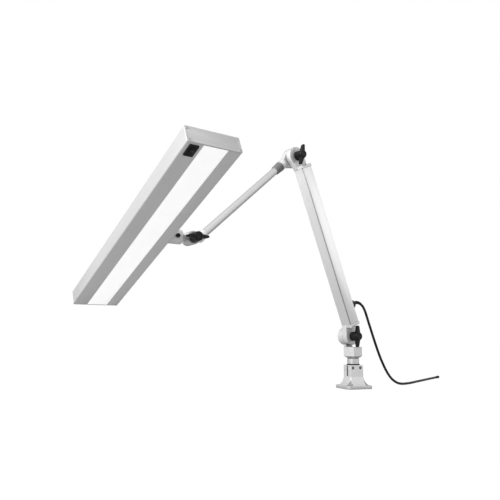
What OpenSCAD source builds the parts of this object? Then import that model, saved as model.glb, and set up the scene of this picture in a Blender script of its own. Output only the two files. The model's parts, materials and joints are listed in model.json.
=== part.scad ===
// Architect lamp: a die-cast foot, a swivel, two arms with three wing-knob hinges
// and a long flat lamp head, with its mains lead. Millimetres, +Z up.
// The origin is the centre of the foot's underside. The arms fold in the XZ plane.

/* [Foot] */
// Side of the square foot plate
foot_w = 70; // [64:0.5:100]
// Thickness of the foot plate
plate_t = 8; // [5:0.5:12]
// Corner radius of the foot plate
plate_corner_r = 8; // [3:0.5:12]
// Height at which the flared skirt meets the socket block
flare_top = 29; // [22:0.5:36]
// Step from the plate's edge in to the flared skirt
flare_step = 2; // [1:0.5:4]
// Width of each of the skirt's four flared sides
buttress_w = 40; // [36:0.5:46]
// Side of the square socket block
socket_w = 36; // [34:0.5:44]
// Corner radius of the socket block
socket_corner_r = 3; // [1:0.5:6]
// Height of the top of the socket block
socket_top = 58; // [50:0.5:80]
// Distance of each screw hole from the foot's centre lines
screw_reach = 26; // [24:0.5:27]
// Diameter of the screw holes through the plate
screw_hole_d = 6.4; // [4:0.1:8]
// Diameter of the corner pocket above each screw hole
pocket_d = 15; // [12:0.5:16]
// Turn of the foot about the upright axis, in degrees
foot_turn = 15; // [0:1:45]
// Diameter of the recess under the foot
recess_d = 34; // [32:0.5:40]
// Height of the recess under the foot
recess_h = 17; // [15:0.5:20]
// Width of the clamp slot in the socket block
slot_w = 7; // [3:0.5:8]
// Metal left above and below the clamp slot
slot_bridge = 2; // [1:0.5:6]
// Diameter of the two grub screws
grub_d = 6.5; // [3:0.5:7]
// Length of the two grub screws
grub_len = 7; // [5:0.5:7]
// Distance of each grub screw from the block's centre line
grub_reach = 10.5; // [9:0.5:12]
// Distance of the grub screws below the top of the block
grub_drop = 7; // [5:0.5:12]

/* [Swivel] */
// Diameter of the spigot inside the foot
spigot_d = 20; // [16:0.5:22]
// Wall of the socket bush
bush_wall = 3; // [2:0.5:4]
// Diameter of the neck between the foot and the collar
neck_d = 30; // [24:0.5:32]
// Height of the visible neck
neck_h = 13.5; // [8:0.5:20]
// Diameter of the thin upper stub of the spigot
stub_d = 14; // [10:0.5:18]
// Length of the upper stub inside the collar
stub_len = 20; // [12:0.5:24]
// Thickness of the black ring on top of the foot
ring_t = 2.5; // [1:0.5:4]
// Diameter of the black ring on top of the foot
ring_d = 33; // [29:0.5:35]
// Width of the collar block along X
collar_w = 30; // [26:0.5:36]
// Width of the collar block along Y
collar_d = 36; // [30:0.5:40]
// Height of the collar block
collar_h = 29; // [24:0.5:32]
// Corner radius of the collar block
collar_corner_r = 3; // [1:0.5:6]
// Chamfer round the lower edge of the collar block
collar_chamfer = 6; // [1:0.5:6.5]
// Thickness of the web between the collar block and the shoulder lug
web_t = 8.5; // [5:0.5:12]
// Reach of that web past the shoulder hinge's centre
web_reach = 8.5; // [4:0.5:12]
// How far that web goes down the back of the collar block
web_drop = 12; // [6:0.5:16]
// Height of the shoulder hinge's centre above the collar block
shoulder_rise = 27; // [25:0.5:40]
// Place of the shoulder hinge's centre along X
shoulder_x = 0.5; // [-2:0.5:4]
// Thickness of the retaining washer under the spigot
keeper_t = 2.5; // [1.5:0.5:3]
// Diameter of the retaining washer under the spigot
keeper_d = 29; // [27:0.5:31]
// Diameter of the screw under the spigot
keeper_screw_d = 6; // [4:0.5:8]
// Length of that screw inside the spigot
keeper_screw_len = 11; // [8:0.5:16]
// Height of that screw's head
keeper_head_h = 4; // [3:0.5:6]

/* [Hinges] */
// Width of the near lug of each hinge
near_lug_t = 15; // [12:0.5:18]
// Width of the far lug of each hinge
far_lug_t = 17.5; // [14:0.5:20]
// Thickness of the friction washer between the lugs
washer_t = 0.5; // [0.4:0.1:2]
// Wall of the friction washer outside the bolt
washer_wall = 7; // [3:0.5:9]
// Radius of the shoulder lugs
shoulder_lug_r = 22; // [18:0.5:24]
// Radius of the elbow lugs
elbow_lug_r = 24; // [18:0.5:25]
// Radius of the wrist lugs
wrist_lug_r = 15; // [13:0.5:20]
// Edge rounding of the far lugs
lug_edge = 2.5; // [1:0.5:4]
// Diameter of the hinge bolts
bolt_d = 10; // [6:0.5:12]
// Radius of the bolt heads
bolt_head_r = 9; // [8:0.5:12]
// Height of the bolt heads
bolt_head_h = 4; // [2:0.5:6]

/* [Wing knobs] */
// Radius of the knob's hub at the lug
hub_r = 11.5; // [9:0.5:14.5]
// Radius of the knob's nose
nose_r = 10.5; // [8:0.5:12]
// Rounding of the knob's nose
nose_edge = 2.5; // [1:0.5:4]
// Length of the knob along its bolt
knob_len = 26; // [25.5:0.5:30]
// Reach of the wings from the bolt's axis
wing_reach = 27; // [20:0.5:30]
// Radius of each wing's tip
wing_tip_r = 3; // [2:0.5:6]
// Radius of each wing's root
wing_root_r = 6.5; // [5:0.5:9]
// Width of the wings along the bolt
wing_w = 11; // [8:0.5:13]
// Distance from the lug to the wings
wing_start = 12; // [5:0.5:12.5]
// Depth of the threaded hole in the knob
thread_depth = 17; // [12:0.5:18]
// Angle of the shoulder knob's wings from the upright
shoulder_knob_turn = 3; // [-90:1:90]
// Angle of the elbow knob's wings from the upright
elbow_knob_turn = 10; // [-90:1:90]
// Angle of the wrist knob's wings from the upright
wrist_knob_turn = 88; // [-90:1:90]

/* [Lower arm] */
// Distance from the shoulder hinge to the elbow hinge
lower_arm_len = 480; // [300:1:700]
// Lean of the lower arm from the upright, in degrees
lower_arm_lean = 21.45; // [15:0.05:35]
// Width of the profile in the folding plane
profile_w = 32; // [30:0.5:40]
// Width of the profile along the hinge axes
profile_d = 34; // [32:0.5:36]
// Wall of the profile
profile_wall = 2.6; // [1.5:0.1:3]
// Radius of the four grooved corners of the profile
corner_cove_r = 2.2; // [1:0.1:2.5]
// Offset of the profile's axis from the line of the hinges
profile_offset = 5.5; // [-4:0.5:8]
// Gap from each hinge axis to the end of the profile
profile_setback = 34; // [32:0.5:40]
// How far each end casting rises past the profile beside its hinge
cheek_h = 8; // [6:0.5:17]
// Length of each end casting's plug inside the profile
plug_len = 26; // [20:1:40]
// Diameter of the countersunk screws at the profile's ends
end_screw_d = 4; // [3:0.5:5]
// Length of the countersunk screws
end_screw_len = 10; // [8:0.5:12]
// Height of the countersunk screws' heads
end_head_h = 1.4; // [0.8:0.1:2]

/* [Cable gland] */
// Distance of the gland from the shoulder hinge along the arm
gland_along = 76; // [70:1:120]
// Width of the gland's hexagon across its corners
gland_hex_d = 24; // [16:0.5:26]
// Height of the gland's hexagon
gland_hex_h = 6; // [4:0.5:10]
// Diameter of the gland's thread through the profile wall
gland_thread_d = 12; // [10:0.5:16]
// Length of the gland's thread inside the profile
gland_thread_len = 8; // [5:0.5:10]
// Height of the gland's dome nut
gland_nut_h = 9; // [8:0.5:16]
// Radius of the dome nut at the hexagon
gland_nut_r = 11; // [8:0.5:12]
// Radius of the dome nut at its mouth
gland_mouth_r = 6; // [5:0.5:7]

/* [Upper arm] */
// Distance from the elbow hinge to the wrist hinge along the tube
upper_arm_len = 374.8; // [200:0.2:600]
// Dip of the tube below the horizontal, in degrees
tube_dip = 41.75; // [30:0.05:50]
// Diameter of the tube
tube_d = 18; // [14:0.5:22]
// Wall of the tube
tube_wall = 1.5; // [1:0.1:3]
// Offset of the tube's axis from the elbow hinge
tube_rise = 4; // [0:0.5:8]
// Offset of the wrist hinge from the elbow hinge, square to the tube
wrist_rise = 17.7; // [6:0.1:24]
// Distance from the elbow hinge to the end of its knuckle
knuckle_len = 44; // [42:0.5:60]
// Radius of the knuckle's round neck
knuckle_neck_r = 12; // [11:0.5:14]
// Length of the knuckle's round neck, and the depth of the tube in it
knuckle_neck_len = 13; // [8:0.5:14]
// Length of the dark ferrule
ferrule_len = 23.5; // [10:0.5:30]
// Radius of the ferrule's large end
ferrule_r = 12.5; // [11.5:0.5:14]
// Radius of the ferrule's small end
ferrule_small_r = 11; // [10:0.5:12]
// Edge rounding of the ferrule's ends
ferrule_edge = 1; // [0.4:0.1:1]
// Distance from the wrist hinge back to its lug's socket mouth
wrist_socket_len = 40; // [34:0.5:60]
// Wall of the wrist lug's socket round the tube
socket_wall = 2.5; // [1.5:0.5:4]
// Depth of the tube in the wrist lug's socket
socket_depth = 16; // [10:0.5:20]
// Solid length behind that socket
socket_root = 4; // [2:0.5:8]

/* [Head link] */
// Distance from the wrist hinge to the head's boss
boss_gap = 29; // [28.5:0.5:60]
// Length of the boss along the head's roll axis
boss_len = 30; // [20:0.5:40]
// Radius of the boss
boss_r = 15.5; // [14:0.5:20]
// Edge rounding of the boss
boss_edge = 1.5; // [0.5:0.5:3]
// Metal behind the spigot's bore in the boss
boss_floor = 3; // [2:0.5:6]
// Place of the roll axis along the hinge axes
roll_y = 5.2; // [0:0.1:8]
// Drop of the roll axis below the wrist hinge
roll_drop = 1.9; // [-4:0.1:4]
// Height of the link's neck
link_neck_h = 12; // [8:0.5:16]
// Diameter of the head's spigot in the boss
head_spigot_d = 16; // [12:0.5:20]
// Length of the plate that holds the spigot inside the head
spigot_plate_len = 44; // [30:1:80]
// Thickness of the plate that holds the spigot inside the head
spigot_plate_t = 3; // [2:0.5:5]
// Diameter of the clamp screw in the boss
boss_screw_d = 6; // [4:0.5:8]
// Radius of the clamp screw's cap
boss_cap_r = 4.5; // [4:0.5:8]
// Height of the clamp screw's cap
boss_cap_h = 5; // [4:0.5:10]

/* [Head] */
// Width of the head
head_w = 108; // [96:1:160]
// Length of the head
head_len = 600; // [400:5:1200]
// Thickness of the head
head_t = 34; // [30:0.5:50]
// Tilt of the head about its roll axis, in degrees
head_tilt = 23.3; // [0:0.1:45]
// Wall of the head's housing
head_wall = 2; // [1.5:0.1:3]
// Corner radius of the housing
head_corner_r = 2.5; // [1:0.5:4]
// Thickness of the end caps
cap_t = 2.5; // [1.5:0.5:5]
// Width of the light strip
strip_w = 48; // [30:0.5:48]
// Offset of the light strip from the head's centre line
strip_x = 2.5; // [0:0.5:6]
// Thickness of the diffuser's face and of its lips
diffuser_t = 1.6; // [1:0.1:3]
// Width of the diffuser's lip past each side of the slot
diffuser_lip = 2.5; // [1.5:0.5:4]
// Thickness of the reflector tray's sheet
tray_t = 1; // [0.6:0.1:1.5]
// Inside width of the reflector tray
tray_w = 54; // [52:0.5:58]
// Width of the light board
board_w = 24; // [12:0.5:30]
// Thickness of the light board
board_t = 1.6; // [1:0.1:2]
// Gap from each end of the housing to the light board
board_margin = 20; // [5:1:40]
// Gap from each end of the housing to the middle of the last chip
chip_margin = 30; // [10:1:60]
// Number of light chips
chip_count = 24; // [8:1:48]
// Side of each light chip
chip_w = 5; // [3:0.5:8]
// Height of each light chip
chip_h = 1; // [0.5:0.1:2]
// Width of the driver box
driver_w = 14; // [10:0.5:15]
// Length of the driver box
driver_len = 150; // [60:1:200]
// Height of the driver box
driver_h = 22; // [12:0.5:26]
// Distance from the head's near end to the driver box
driver_inset = 70; // [40:1:250]
// Diameter of the end cap screws
cap_screw_d = 2.5; // [2:0.1:4]
// Length of the end cap screws inside the housing
cap_screw_len = 12; // [6:0.5:20]
// Height of the end cap screws' heads
cap_head_h = 1.2; // [0.6:0.1:2]
// Radius of the screw ports in the housing
port_r = 3.5; // [3:0.1:5]
// How far the screw ports run into the housing's walls
port_lap = 1; // [0.5:0.1:1.5]

/* [Switch] */
// Width of the switch's bezel
bezel_w = 18; // [16:0.5:20]
// Length of the switch's bezel
bezel_len = 28; // [24:0.5:34]
// Height of the bezel above the light face
bezel_h = 2; // [1:0.1:3]
// Corner radius of the bezel
bezel_corner_r = 2; // [0.5:0.5:4]
// Distance from the near end of the head to the bezel
bezel_inset = 6; // [4:0.5:20]
// Distance from the side of the head to the bezel
bezel_side = 8; // [3:0.5:10]
// Wall of the bezel round the rocker
bezel_wall = 4.5; // [4:0.5:6]
// Rim of the bezel outside the cut-out in the head
bezel_rim = 3; // [1.5:0.5:3.5]
// Depth of the switch inside the head
switch_depth = 20; // [14:0.5:24]
// Tilt of the rocker at rest, in degrees
rocker_tilt = 6; // [3:0.5:8]
// How far the rocker stands out of the bezel
rocker_proud = 1.5; // [0.5:0.1:2]
// Dip in the middle of the rocker's face
rocker_dip = 0.5; // [0.2:0.1:1]
// Thickness of the rocker behind its axle
rocker_back = 3; // [2:0.5:4]
// Diameter of the rocker's axle
rocker_axle_d = 3; // [2:0.1:4]
// Length of each axle end in the bezel
rocker_seat = 1.2; // [0.5:0.1:2]

/* [Mains lead] */
// Diameter of the lead
lead_d = 6.5; // [5:0.1:8]
// Radius of the strain relief at the gland
relief_r = 5; // [4.5:0.1:6]
// Radius of the strain relief at its tip
relief_tip_r = 3.9; // [3.6:0.1:4.4]
// Diameter of the sleeve on the lead's end
end_sleeve_d = 8; // [7:0.1:9]
// Length of the sleeve on the lead's end
end_sleeve_len = 18; // [10:0.5:30]

/* [Clearances] */
// Radial clearance of each shaft and its bore
fit_gap = 0.05; // [0.02:0.01:0.1]
// Clearance of pieces that slide together when assembled
slip_gap = 0.2; // [0.1:0.05:0.5]
// Clearance between pieces that turn past each other
turn_gap = 0.4; // [0.3:0.1:1]

/* [Hidden] */
$fn = 64;
skin = 0.5;

far_lug_y = near_lug_t + washer_t;
lug_end_y = far_lug_y + far_lug_t;
tube_y = far_lug_y + far_lug_t/2;
bolt_r = bolt_d/2;
bolt_bore_r = bolt_r + fit_gap;
sweep_r = wing_reach + 2*turn_gap;
end_screw_shares = [0.35, 0.75];

bush_r = spigot_d/2 + fit_gap + bush_wall;
ring_top = socket_top + ring_t;
collar_z = ring_top + neck_h;
collar_top = collar_z + collar_h;
shoulder = [shoulder_x, 0, collar_top + shoulder_rise];
elbow = shoulder + lower_arm_len*[-sin(lower_arm_lean), 0, cos(lower_arm_lean)];
wrist = elbow + upper_arm_len*[-cos(tube_dip), 0, -sin(tube_dip)]
    + wrist_rise*[-sin(tube_dip), 0, cos(tube_dip)];
head_side_x = wrist.x - boss_gap - boss_len - turn_gap;
head_centre = [head_side_x - head_w/2, roll_y, wrist.z - roll_drop];

profile_low = profile_setback;
profile_high = lower_arm_len - profile_setback;
profile_rear = profile_offset + profile_w/2;
gland_tip = profile_rear + gland_hex_h + gland_nut_h;

inner_top = head_t/2 - head_wall;
flange_in = head_wall - head_t/2;
housing_len = head_len - 2*cap_t;
bezel_x = bezel_w/2 + bezel_side - head_w/2;
bezel_y = bezel_len/2 + bezel_inset - head_len/2;
window_w = bezel_w - 2*bezel_wall;
window_len = bezel_len - 2*bezel_wall;
switch_w = bezel_w - 2*bezel_rim;
switch_len = bezel_len - 2*bezel_rim;
rocker_r = window_len/2 - turn_gap;
rocker_z = -head_t/2 + rocker_r*0.35;

// Points on the lead's centre line, from the gland to the free end.
relief_route = [[6.7, 0, 214.1], [12.5, 0, 216.1], [18.7, 0, 217], [25, 0, 216.3], [31, 0, 214.2]];
lead_route = [
    [31, 0, 214.2], [36.3, -0.5, 210.7], [40.6, -1.2, 206], [44.5, -1.7, 199.5], [48.2, -2.3, 191],
    [51.8, -3, 180], [56.2, -4, 166], [61, -5, 152],
    [66.5, -6, 136], [72, -7, 120], [78, -8, 104], [85, -8, 88], [92.5, -8, 73], [100.5, -8, 59],
    [109, -8, 45], [118.5, -8, 32.5], [129, -8, 21], [141, -9, 12], [154, -10, 6], [169, -10, 3.6],
    [184, -9, 3.3], [200, -6, 3.3], [217, -1, 3.3], [234, 6, 3.3], [251, 13, 3.3], [268, 20, 3.3],
    [286, 27, 3.3], [304, 34, 3.3], [322, 41, 3.3], [340, 48, 3.3], [358, 55.5, 3.3],
    [376, 62.5, 3.3], [394, 69.5, 3.3], [410, 75, 3.4], [425, 79.5, 3.8], [439, 83.5, 4.1]
];
lead_end_dir = lead_route[len(lead_route) - 1] - lead_route[len(lead_route) - 2];

function unit(v) = v/norm(v);

function tangent(route, i) =
    unit(route[min(i + 1, len(route) - 1)] - route[max(i - 1, 0)]);

// A flat ring of points round one place on the route.
function ring(centre, along, r, sides) =
    let (a = unit(cross([0, 1, 0], along)), b = cross(along, a))
    [for (i = [0 : sides - 1]) centre + r*(cos(360*i/sides)*a + sin(360*i/sides)*b)];

// A round tube along a route, with its radius going from r1 to r2.
module swept_tube(route, r1, r2, sides, first, last) {
    rings = len(route);
    dirs = [for (i = [0 : rings - 1])
        i == 0 ? unit(first) : i == rings - 1 ? unit(last) : tangent(route, i)];
    points = [for (i = [0 : rings - 1])
        each ring(route[i], dirs[i], r1 + (r2 - r1)*i/(rings - 1), sides)];
    walls = [for (i = [0 : rings - 2], k = [0 : sides - 1])
        let (a = i*sides + k, b = i*sides + (k + 1)%sides)
        each [[a, b, b + sides], [a, b + sides, a + sides]]];
    ends = [[for (k = [sides - 1 : -1 : 0]) k], [for (k = [0 : sides - 1]) (rings - 1)*sides + k]];
    polyhedron(points = points, faces = concat([for (f = walls) [f[2], f[1], f[0]]],
        [for (f = ends) [for (k = [len(f) - 1 : -1 : 0]) f[k]]]));
}

module rounded_rect(w, d, r) {
    square([w - 2*r, d], center = true);
    square([w, d - 2*r], center = true);
    for (x = [-1, 1], y = [-1, 1])
        translate([x*(w/2 - r), y*(d/2 - r)]) circle(r = r);
}

module ring_2d(outer_r, inner_r) {
    difference() {
        circle(r = outer_r);
        circle(r = inner_r);
    }
}

// Two round ends joined by their tangents: one at the origin, one at (x, y).
module taper_link(r1, r2, x, y) {
    d = norm([x, y]);
    a = acos((r1 - r2)/d);
    rotate(atan2(y, x)) {
        circle(r = r1);
        translate([d, 0]) circle(r = r2);
        polygon([
            r1*[cos(a), sin(a)], [d, 0] + r2*[cos(a), sin(a)],
            [d, 0] + r2*[cos(a), -sin(a)], r1*[cos(a), -sin(a)]
        ]);
    }
}

// Turns a flat shape drawn as (x, z) into a slab between two places along Y.
module slab(y1, y2) {
    translate([0, y2, 0]) rotate([90, 0, 0]) linear_extrude(y2 - y1) children();
}

// A cylinder along Y.
module pin_y(y1, y2, r) {
    translate([0, y2, 0]) rotate([90, 0, 0]) cylinder(h = y2 - y1, r = r);
}

// A round lug along Y whose outer edge is rounded.
module dome_lug(r, y1, y2) {
    translate([0, y1, 0]) rotate([-90, 0, 0]) rotate_extrude() {
        square([r, y2 - y1 - lug_edge]);
        square([r - lug_edge, y2 - y1]);
        translate([r - lug_edge, y2 - y1 - lug_edge]) circle(r = lug_edge);
    }
}

module at_lower_arm() {
    translate(shoulder) rotate([0, -lower_arm_lean, 0]) children();
}

module at_elbow() {
    translate(elbow) children();
}

module at_upper_arm() {
    translate(elbow) rotate([0, -tube_dip, 0]) children();
}

module at_wrist() {
    translate(wrist) children();
}

module at_head() {
    translate(head_centre) rotate([-head_tilt, 0, 0]) children();
}

module at_switch() {
    at_head() translate([bezel_x, bezel_y, 0]) children();
}

module foot_flare() {
    edge = foot_w/2 - flare_step;
    top = socket_w/2;
    rise = flare_top - plate_t;
    slab(-buttress_w/2, buttress_w/2) polygon([
        [-edge, plate_t - skin], [edge, plate_t - skin], [edge, plate_t + 1],
        [top + 0.42*(edge - top), plate_t + 0.36*rise], [top + 0.12*(edge - top), plate_t + 0.74*rise],
        [top, flare_top], [-top, flare_top],
        [-top - 0.12*(edge - top), plate_t + 0.74*rise], [-top - 0.42*(edge - top), plate_t + 0.36*rise],
        [-edge, plate_t + 1]
    ]);
}

module grub_places() {
    for (x = [-1, 1])
        translate([x*grub_reach, -socket_w/2, socket_top - grub_drop]) rotate([-90, 0, 0]) children();
}

module foot() {
    color("silver") rotate([0, 0, -foot_turn]) difference() {
        union() {
            linear_extrude(plate_t) rounded_rect(foot_w, foot_w, plate_corner_r);
            foot_flare();
            rotate([0, 0, 90]) foot_flare();
            translate([0, 0, flare_top - skin]) linear_extrude(socket_top - flare_top + skin)
                rounded_rect(socket_w, socket_w, socket_corner_r);
        }
        translate([0, 0, -1]) cylinder(h = recess_h + 1, d = recess_d);
        cylinder(h = socket_top + 1, r = bush_r + fit_gap);
        for (x = [-1, 1], y = [-1, 1]) translate([x*screw_reach, y*screw_reach, 0]) {
            translate([0, 0, -1]) cylinder(h = plate_t + 2, d = screw_hole_d);
            translate([0, 0, plate_t]) cylinder(h = flare_top, d = pocket_d);
        }
        translate([-socket_w, -slot_w/2, flare_top + slot_bridge])
            cube([socket_w, slot_w, socket_top - flare_top - 2*slot_bridge]);
        grub_places() translate([0, 0, -1]) cylinder(h = grub_len + 1 + slip_gap, d = grub_d + 2*fit_gap);
    }
}

module socket_bush() {
    color("dimgray") translate([0, 0, recess_h]) linear_extrude(socket_top - recess_h)
        ring_2d(bush_r, spigot_d/2 + fit_gap);
}

module grub_screws() {
    color("dimgray") rotate([0, 0, -foot_turn]) grub_places() difference() {
        cylinder(h = grub_len, d = grub_d);
        translate([0, 0, -1]) cylinder(h = 1 + grub_d/2, d = grub_d/2, $fn = 6);
    }
}

module swivel_ring() {
    color("black") translate([0, 0, socket_top]) linear_extrude(ring_t)
        ring_2d(ring_d/2, spigot_d/2 + fit_gap);
}

module swivel_spigot() {
    color("gray") difference() {
        union() {
            translate([0, 0, recess_h]) cylinder(h = ring_top - recess_h, d = spigot_d);
            translate([0, 0, ring_top]) cylinder(h = neck_h, d = neck_d);
            translate([0, 0, collar_z - skin]) cylinder(h = stub_len + skin, d = stub_d);
        }
        translate([0, 0, recess_h - 1])
            cylinder(h = keeper_screw_len + 2, d = keeper_screw_d + 2*fit_gap);
    }
}

module keeper_washer() {
    color("gray") translate([0, 0, recess_h - keeper_t]) linear_extrude(keeper_t)
        ring_2d(keeper_d/2, keeper_screw_d/2 + fit_gap);
}

module keeper_screw() {
    color("dimgray") {
        translate([0, 0, recess_h - keeper_t - keeper_head_h]) difference() {
            cylinder(h = keeper_head_h, d = 1.7*keeper_screw_d);
            translate([0, 0, -1]) cylinder(h = 1 + keeper_head_h/2, d = 0.8*keeper_screw_d, $fn = 6);
        }
        translate([0, 0, recess_h - keeper_t - skin])
            cylinder(h = keeper_screw_len + keeper_t, d = keeper_screw_d);
    }
}

// One side view of the collar block, with its lower corners cut off.
module collar_outline(w) {
    cut = w/2 - collar_chamfer;
    polygon([
        [-cut + 1, -1], [cut - 1, -1], [w/2 + 1, collar_chamfer + 1], [w/2 + 1, collar_h + 1],
        [-w/2 - 1, collar_h + 1], [-w/2 - 1, collar_chamfer + 1]
    ]);
}

module swivel_casting() {
    web_x = shoulder_x - web_reach;
    lug_low = shoulder.z - shoulder_lug_r*0.7;
    color("silver") difference() {
        union() {
            translate([0, 0, collar_z]) intersection() {
                linear_extrude(collar_h) rounded_rect(collar_w, collar_d, collar_corner_r);
                slab(-collar_d, collar_d) collar_outline(collar_w);
                rotate([0, 0, 90]) slab(-collar_d, collar_d) collar_outline(collar_d);
            }
            translate([web_x, far_lug_y, collar_top - web_drop])
                cube([collar_w/2 - web_x, web_t, lug_low - collar_top + web_drop]);
            translate(shoulder) dome_lug(shoulder_lug_r, far_lug_y, lug_end_y);
        }
        translate([0, 0, collar_z - 1]) cylinder(h = stub_len + 1 + slip_gap, d = stub_d + 2*fit_gap);
        translate(shoulder) pin_y(far_lug_y - 1, lug_end_y + 1, bolt_bore_r);
    }
}

// A bolt along Y: its domed head bears on the far lug and its end is in the knob.
module hinge_bolt() {
    color("gray") {
        pin_y(skin - thread_depth, lug_end_y + skin, bolt_r);
        translate([0, lug_end_y, 0]) rotate([-90, 0, 0]) rotate_extrude() {
            square([bolt_head_r, bolt_head_h/2]);
            square([bolt_head_r - bolt_head_h/2, bolt_head_h]);
            translate([bolt_head_r - bolt_head_h/2, bolt_head_h/2]) circle(r = bolt_head_h/2, $fn = 32);
        }
    }
}

module hinge_washer() {
    color("dimgray") slab(near_lug_t, far_lug_y) ring_2d(bolt_r + washer_wall, bolt_bore_r);
}

module wing_knob(turn) {
    color("black") difference() {
        union() {
            rotate([90, 0, 0]) rotate_extrude() polygon([
                [0, 0], [hub_r, 0], [hub_r, wing_start - nose_edge], [nose_r, wing_start + wing_w],
                [nose_r - nose_edge, knob_len], [0, knob_len]
            ]);
            slab(-wing_start - wing_w, -wing_start) for (a = [90, 270]) rotate(a - turn)
                taper_link(wing_root_r, wing_tip_r, wing_reach - wing_tip_r, 0);
        }
        pin_y(-thread_depth, 1, bolt_bore_r);
    }
}

module shoulder_bolt() {
    translate(shoulder) hinge_bolt();
}

module shoulder_washer() {
    translate(shoulder) hinge_washer();
}

module shoulder_knob() {
    translate(shoulder) wing_knob(shoulder_knob_turn);
}

// The casting in one end of the profile, with its hinge at the origin and the profile
// above it: a plug, a block hollowed round the knob's sweep, and the near lug.
module end_casting(lug_r) {
    difference() {
        union() {
            translate([profile_offset - profile_w/2, -profile_d/2, profile_setback - cheek_h])
                cube([profile_w, profile_d, cheek_h]);
            translate([profile_offset, 0, profile_setback - skin]) linear_extrude(plug_len + skin)
                rounded_rect(profile_w - 2*profile_wall - 2*slip_gap,
                    profile_d - 2*profile_wall - 2*slip_gap, corner_cove_r + 1);
        }
        pin_y(-profile_d, profile_d, sweep_r);
        for (z = end_screw_shares) translate([profile_rear, 0, profile_setback + z*plug_len])
            rotate([0, -90, 0]) cylinder(h = end_screw_len + 1, r = end_screw_d/2 + fit_gap);
    }
    difference() {
        slab(0, near_lug_t) {
            circle(r = lug_r);
            polygon([
                [profile_offset - profile_w/2, profile_setback - skin],
                [profile_rear, profile_setback - skin],
                [lug_r*cos(10), lug_r*sin(10)], [-lug_r*cos(10), lug_r*sin(10)]
            ]);
        }
        pin_y(-1, near_lug_t + 1, bolt_bore_r);
    }
}

module arm_foot_casting() {
    color("silver") at_lower_arm() end_casting(shoulder_lug_r);
}

module arm_head_casting() {
    color("silver") at_lower_arm() translate([0, 0, lower_arm_len]) mirror([0, 0, 1])
        end_casting(elbow_lug_r);
}

module screw_places() {
    for (z = end_screw_shares, s = [profile_low + z*plug_len, profile_high - z*plug_len])
        at_lower_arm() translate([profile_rear, 0, s]) rotate([0, -90, 0]) children();
}

module arm_profile() {
    color("silver") difference() {
        at_lower_arm() translate([profile_offset, 0, profile_low])
            linear_extrude(profile_high - profile_low) difference() {
                square([profile_w, profile_d], center = true);
                for (x = [-1, 1], y = [-1, 1]) translate([x*profile_w/2, y*profile_d/2])
                    circle(r = corner_cove_r);
                rounded_rect(profile_w - 2*profile_wall, profile_d - 2*profile_wall, corner_cove_r + 1);
            }
        screw_places() {
            translate([0, 0, -1]) cylinder(h = profile_wall + 2, r = end_screw_d/2 + fit_gap);
            translate([0, 0, -1]) cylinder(h = end_head_h + 1, r = end_screw_d + fit_gap);
        }
        at_lower_arm() translate([profile_rear + 1, 0, gland_along]) rotate([0, -90, 0])
            cylinder(h = profile_wall + 2, r = gland_thread_d/2 + fit_gap);
    }
}

module arm_screws() {
    color("gray") screw_places() {
        cylinder(h = end_head_h, r = end_screw_d);
        cylinder(h = end_screw_len, d = end_screw_d);
    }
}

module at_gland() {
    at_lower_arm() translate([profile_rear, 0, gland_along]) rotate([0, 90, 0]) children();
}

module gland_body() {
    color("black") at_gland() difference() {
        union() {
            cylinder(h = gland_hex_h, d = gland_hex_d, $fn = 6);
            translate([0, 0, -gland_thread_len]) cylinder(h = gland_thread_len + skin, d = gland_thread_d);
        }
        translate([0, 0, -gland_thread_len - 1])
            cylinder(h = gland_thread_len + gland_hex_h + 2, d = lead_d + 2*slip_gap);
    }
}

module gland_nut() {
    color("black") at_gland() translate([0, 0, gland_hex_h]) rotate_extrude() polygon([
        [lead_d/2 + slip_gap, 0], [gland_nut_r, 0], [gland_nut_r, gland_nut_h*0.55],
        [gland_mouth_r, gland_nut_h], [lead_d/2 + slip_gap, gland_nut_h]
    ]);
}

module strain_relief() {
    arm_out = [cos(lower_arm_lean), 0, sin(lower_arm_lean)];
    color("black") swept_tube(
        [for (i = [0 : len(relief_route) - 1])
            i == 0 ? shoulder + gland_tip*arm_out
                + gland_along*[-sin(lower_arm_lean), 0, cos(lower_arm_lean)] : relief_route[i]],
        relief_r, relief_tip_r, 16, arm_out, lead_route[1] - relief_route[len(relief_route) - 2]);
}

module elbow_bolt() {
    at_elbow() hinge_bolt();
}

module elbow_washer() {
    at_elbow() hinge_washer();
}

module elbow_knob() {
    at_elbow() wing_knob(elbow_knob_turn);
}

// The knuckle's lower near side is cut back, to pass beside the folded lower arm.
module elbow_knuckle() {
    arm_clear_y = profile_d/2 + turn_gap;
    color("silver") at_upper_arm() difference() {
        union() {
            dome_lug(elbow_lug_r, far_lug_y, lug_end_y);
            slab(far_lug_y, lug_end_y - lug_edge)
                taper_link(elbow_lug_r, far_lug_t/2, far_lug_t/2 - knuckle_len, tube_rise);
            translate([-knuckle_len, tube_y, tube_rise]) rotate([0, 90, 0])
                cylinder(h = knuckle_neck_len, r = knuckle_neck_r);
        }
        pin_y(far_lug_y - 1, lug_end_y + 1, bolt_bore_r);
        translate([-knuckle_len - 1, tube_y, tube_rise]) rotate([0, 90, 0])
            cylinder(h = knuckle_neck_len + 1 + slip_gap, r = tube_d/2 + fit_gap);
        difference() {
            translate([-knuckle_len - 1, -1, -elbow_lug_r])
                cube([knuckle_len + 1, arm_clear_y + 1, elbow_lug_r + tube_rise - tube_d/2 - 2*turn_gap]);
            pin_y(-2, arm_clear_y + 1, sweep_r - 2*turn_gap);
        }
    }
}

module tube_ferrule() {
    color("dimgray") at_upper_arm() translate([-knuckle_len, tube_y, tube_rise]) rotate([0, -90, 0])
        rotate_extrude() polygon([
            [tube_d/2 + fit_gap, 0], [ferrule_r - ferrule_edge, 0], [ferrule_r, ferrule_edge],
            [ferrule_small_r, ferrule_len - ferrule_edge],
            [ferrule_small_r - ferrule_edge, ferrule_len],
            [tube_d/2 + fit_gap, ferrule_len]
        ]);
}

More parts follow.
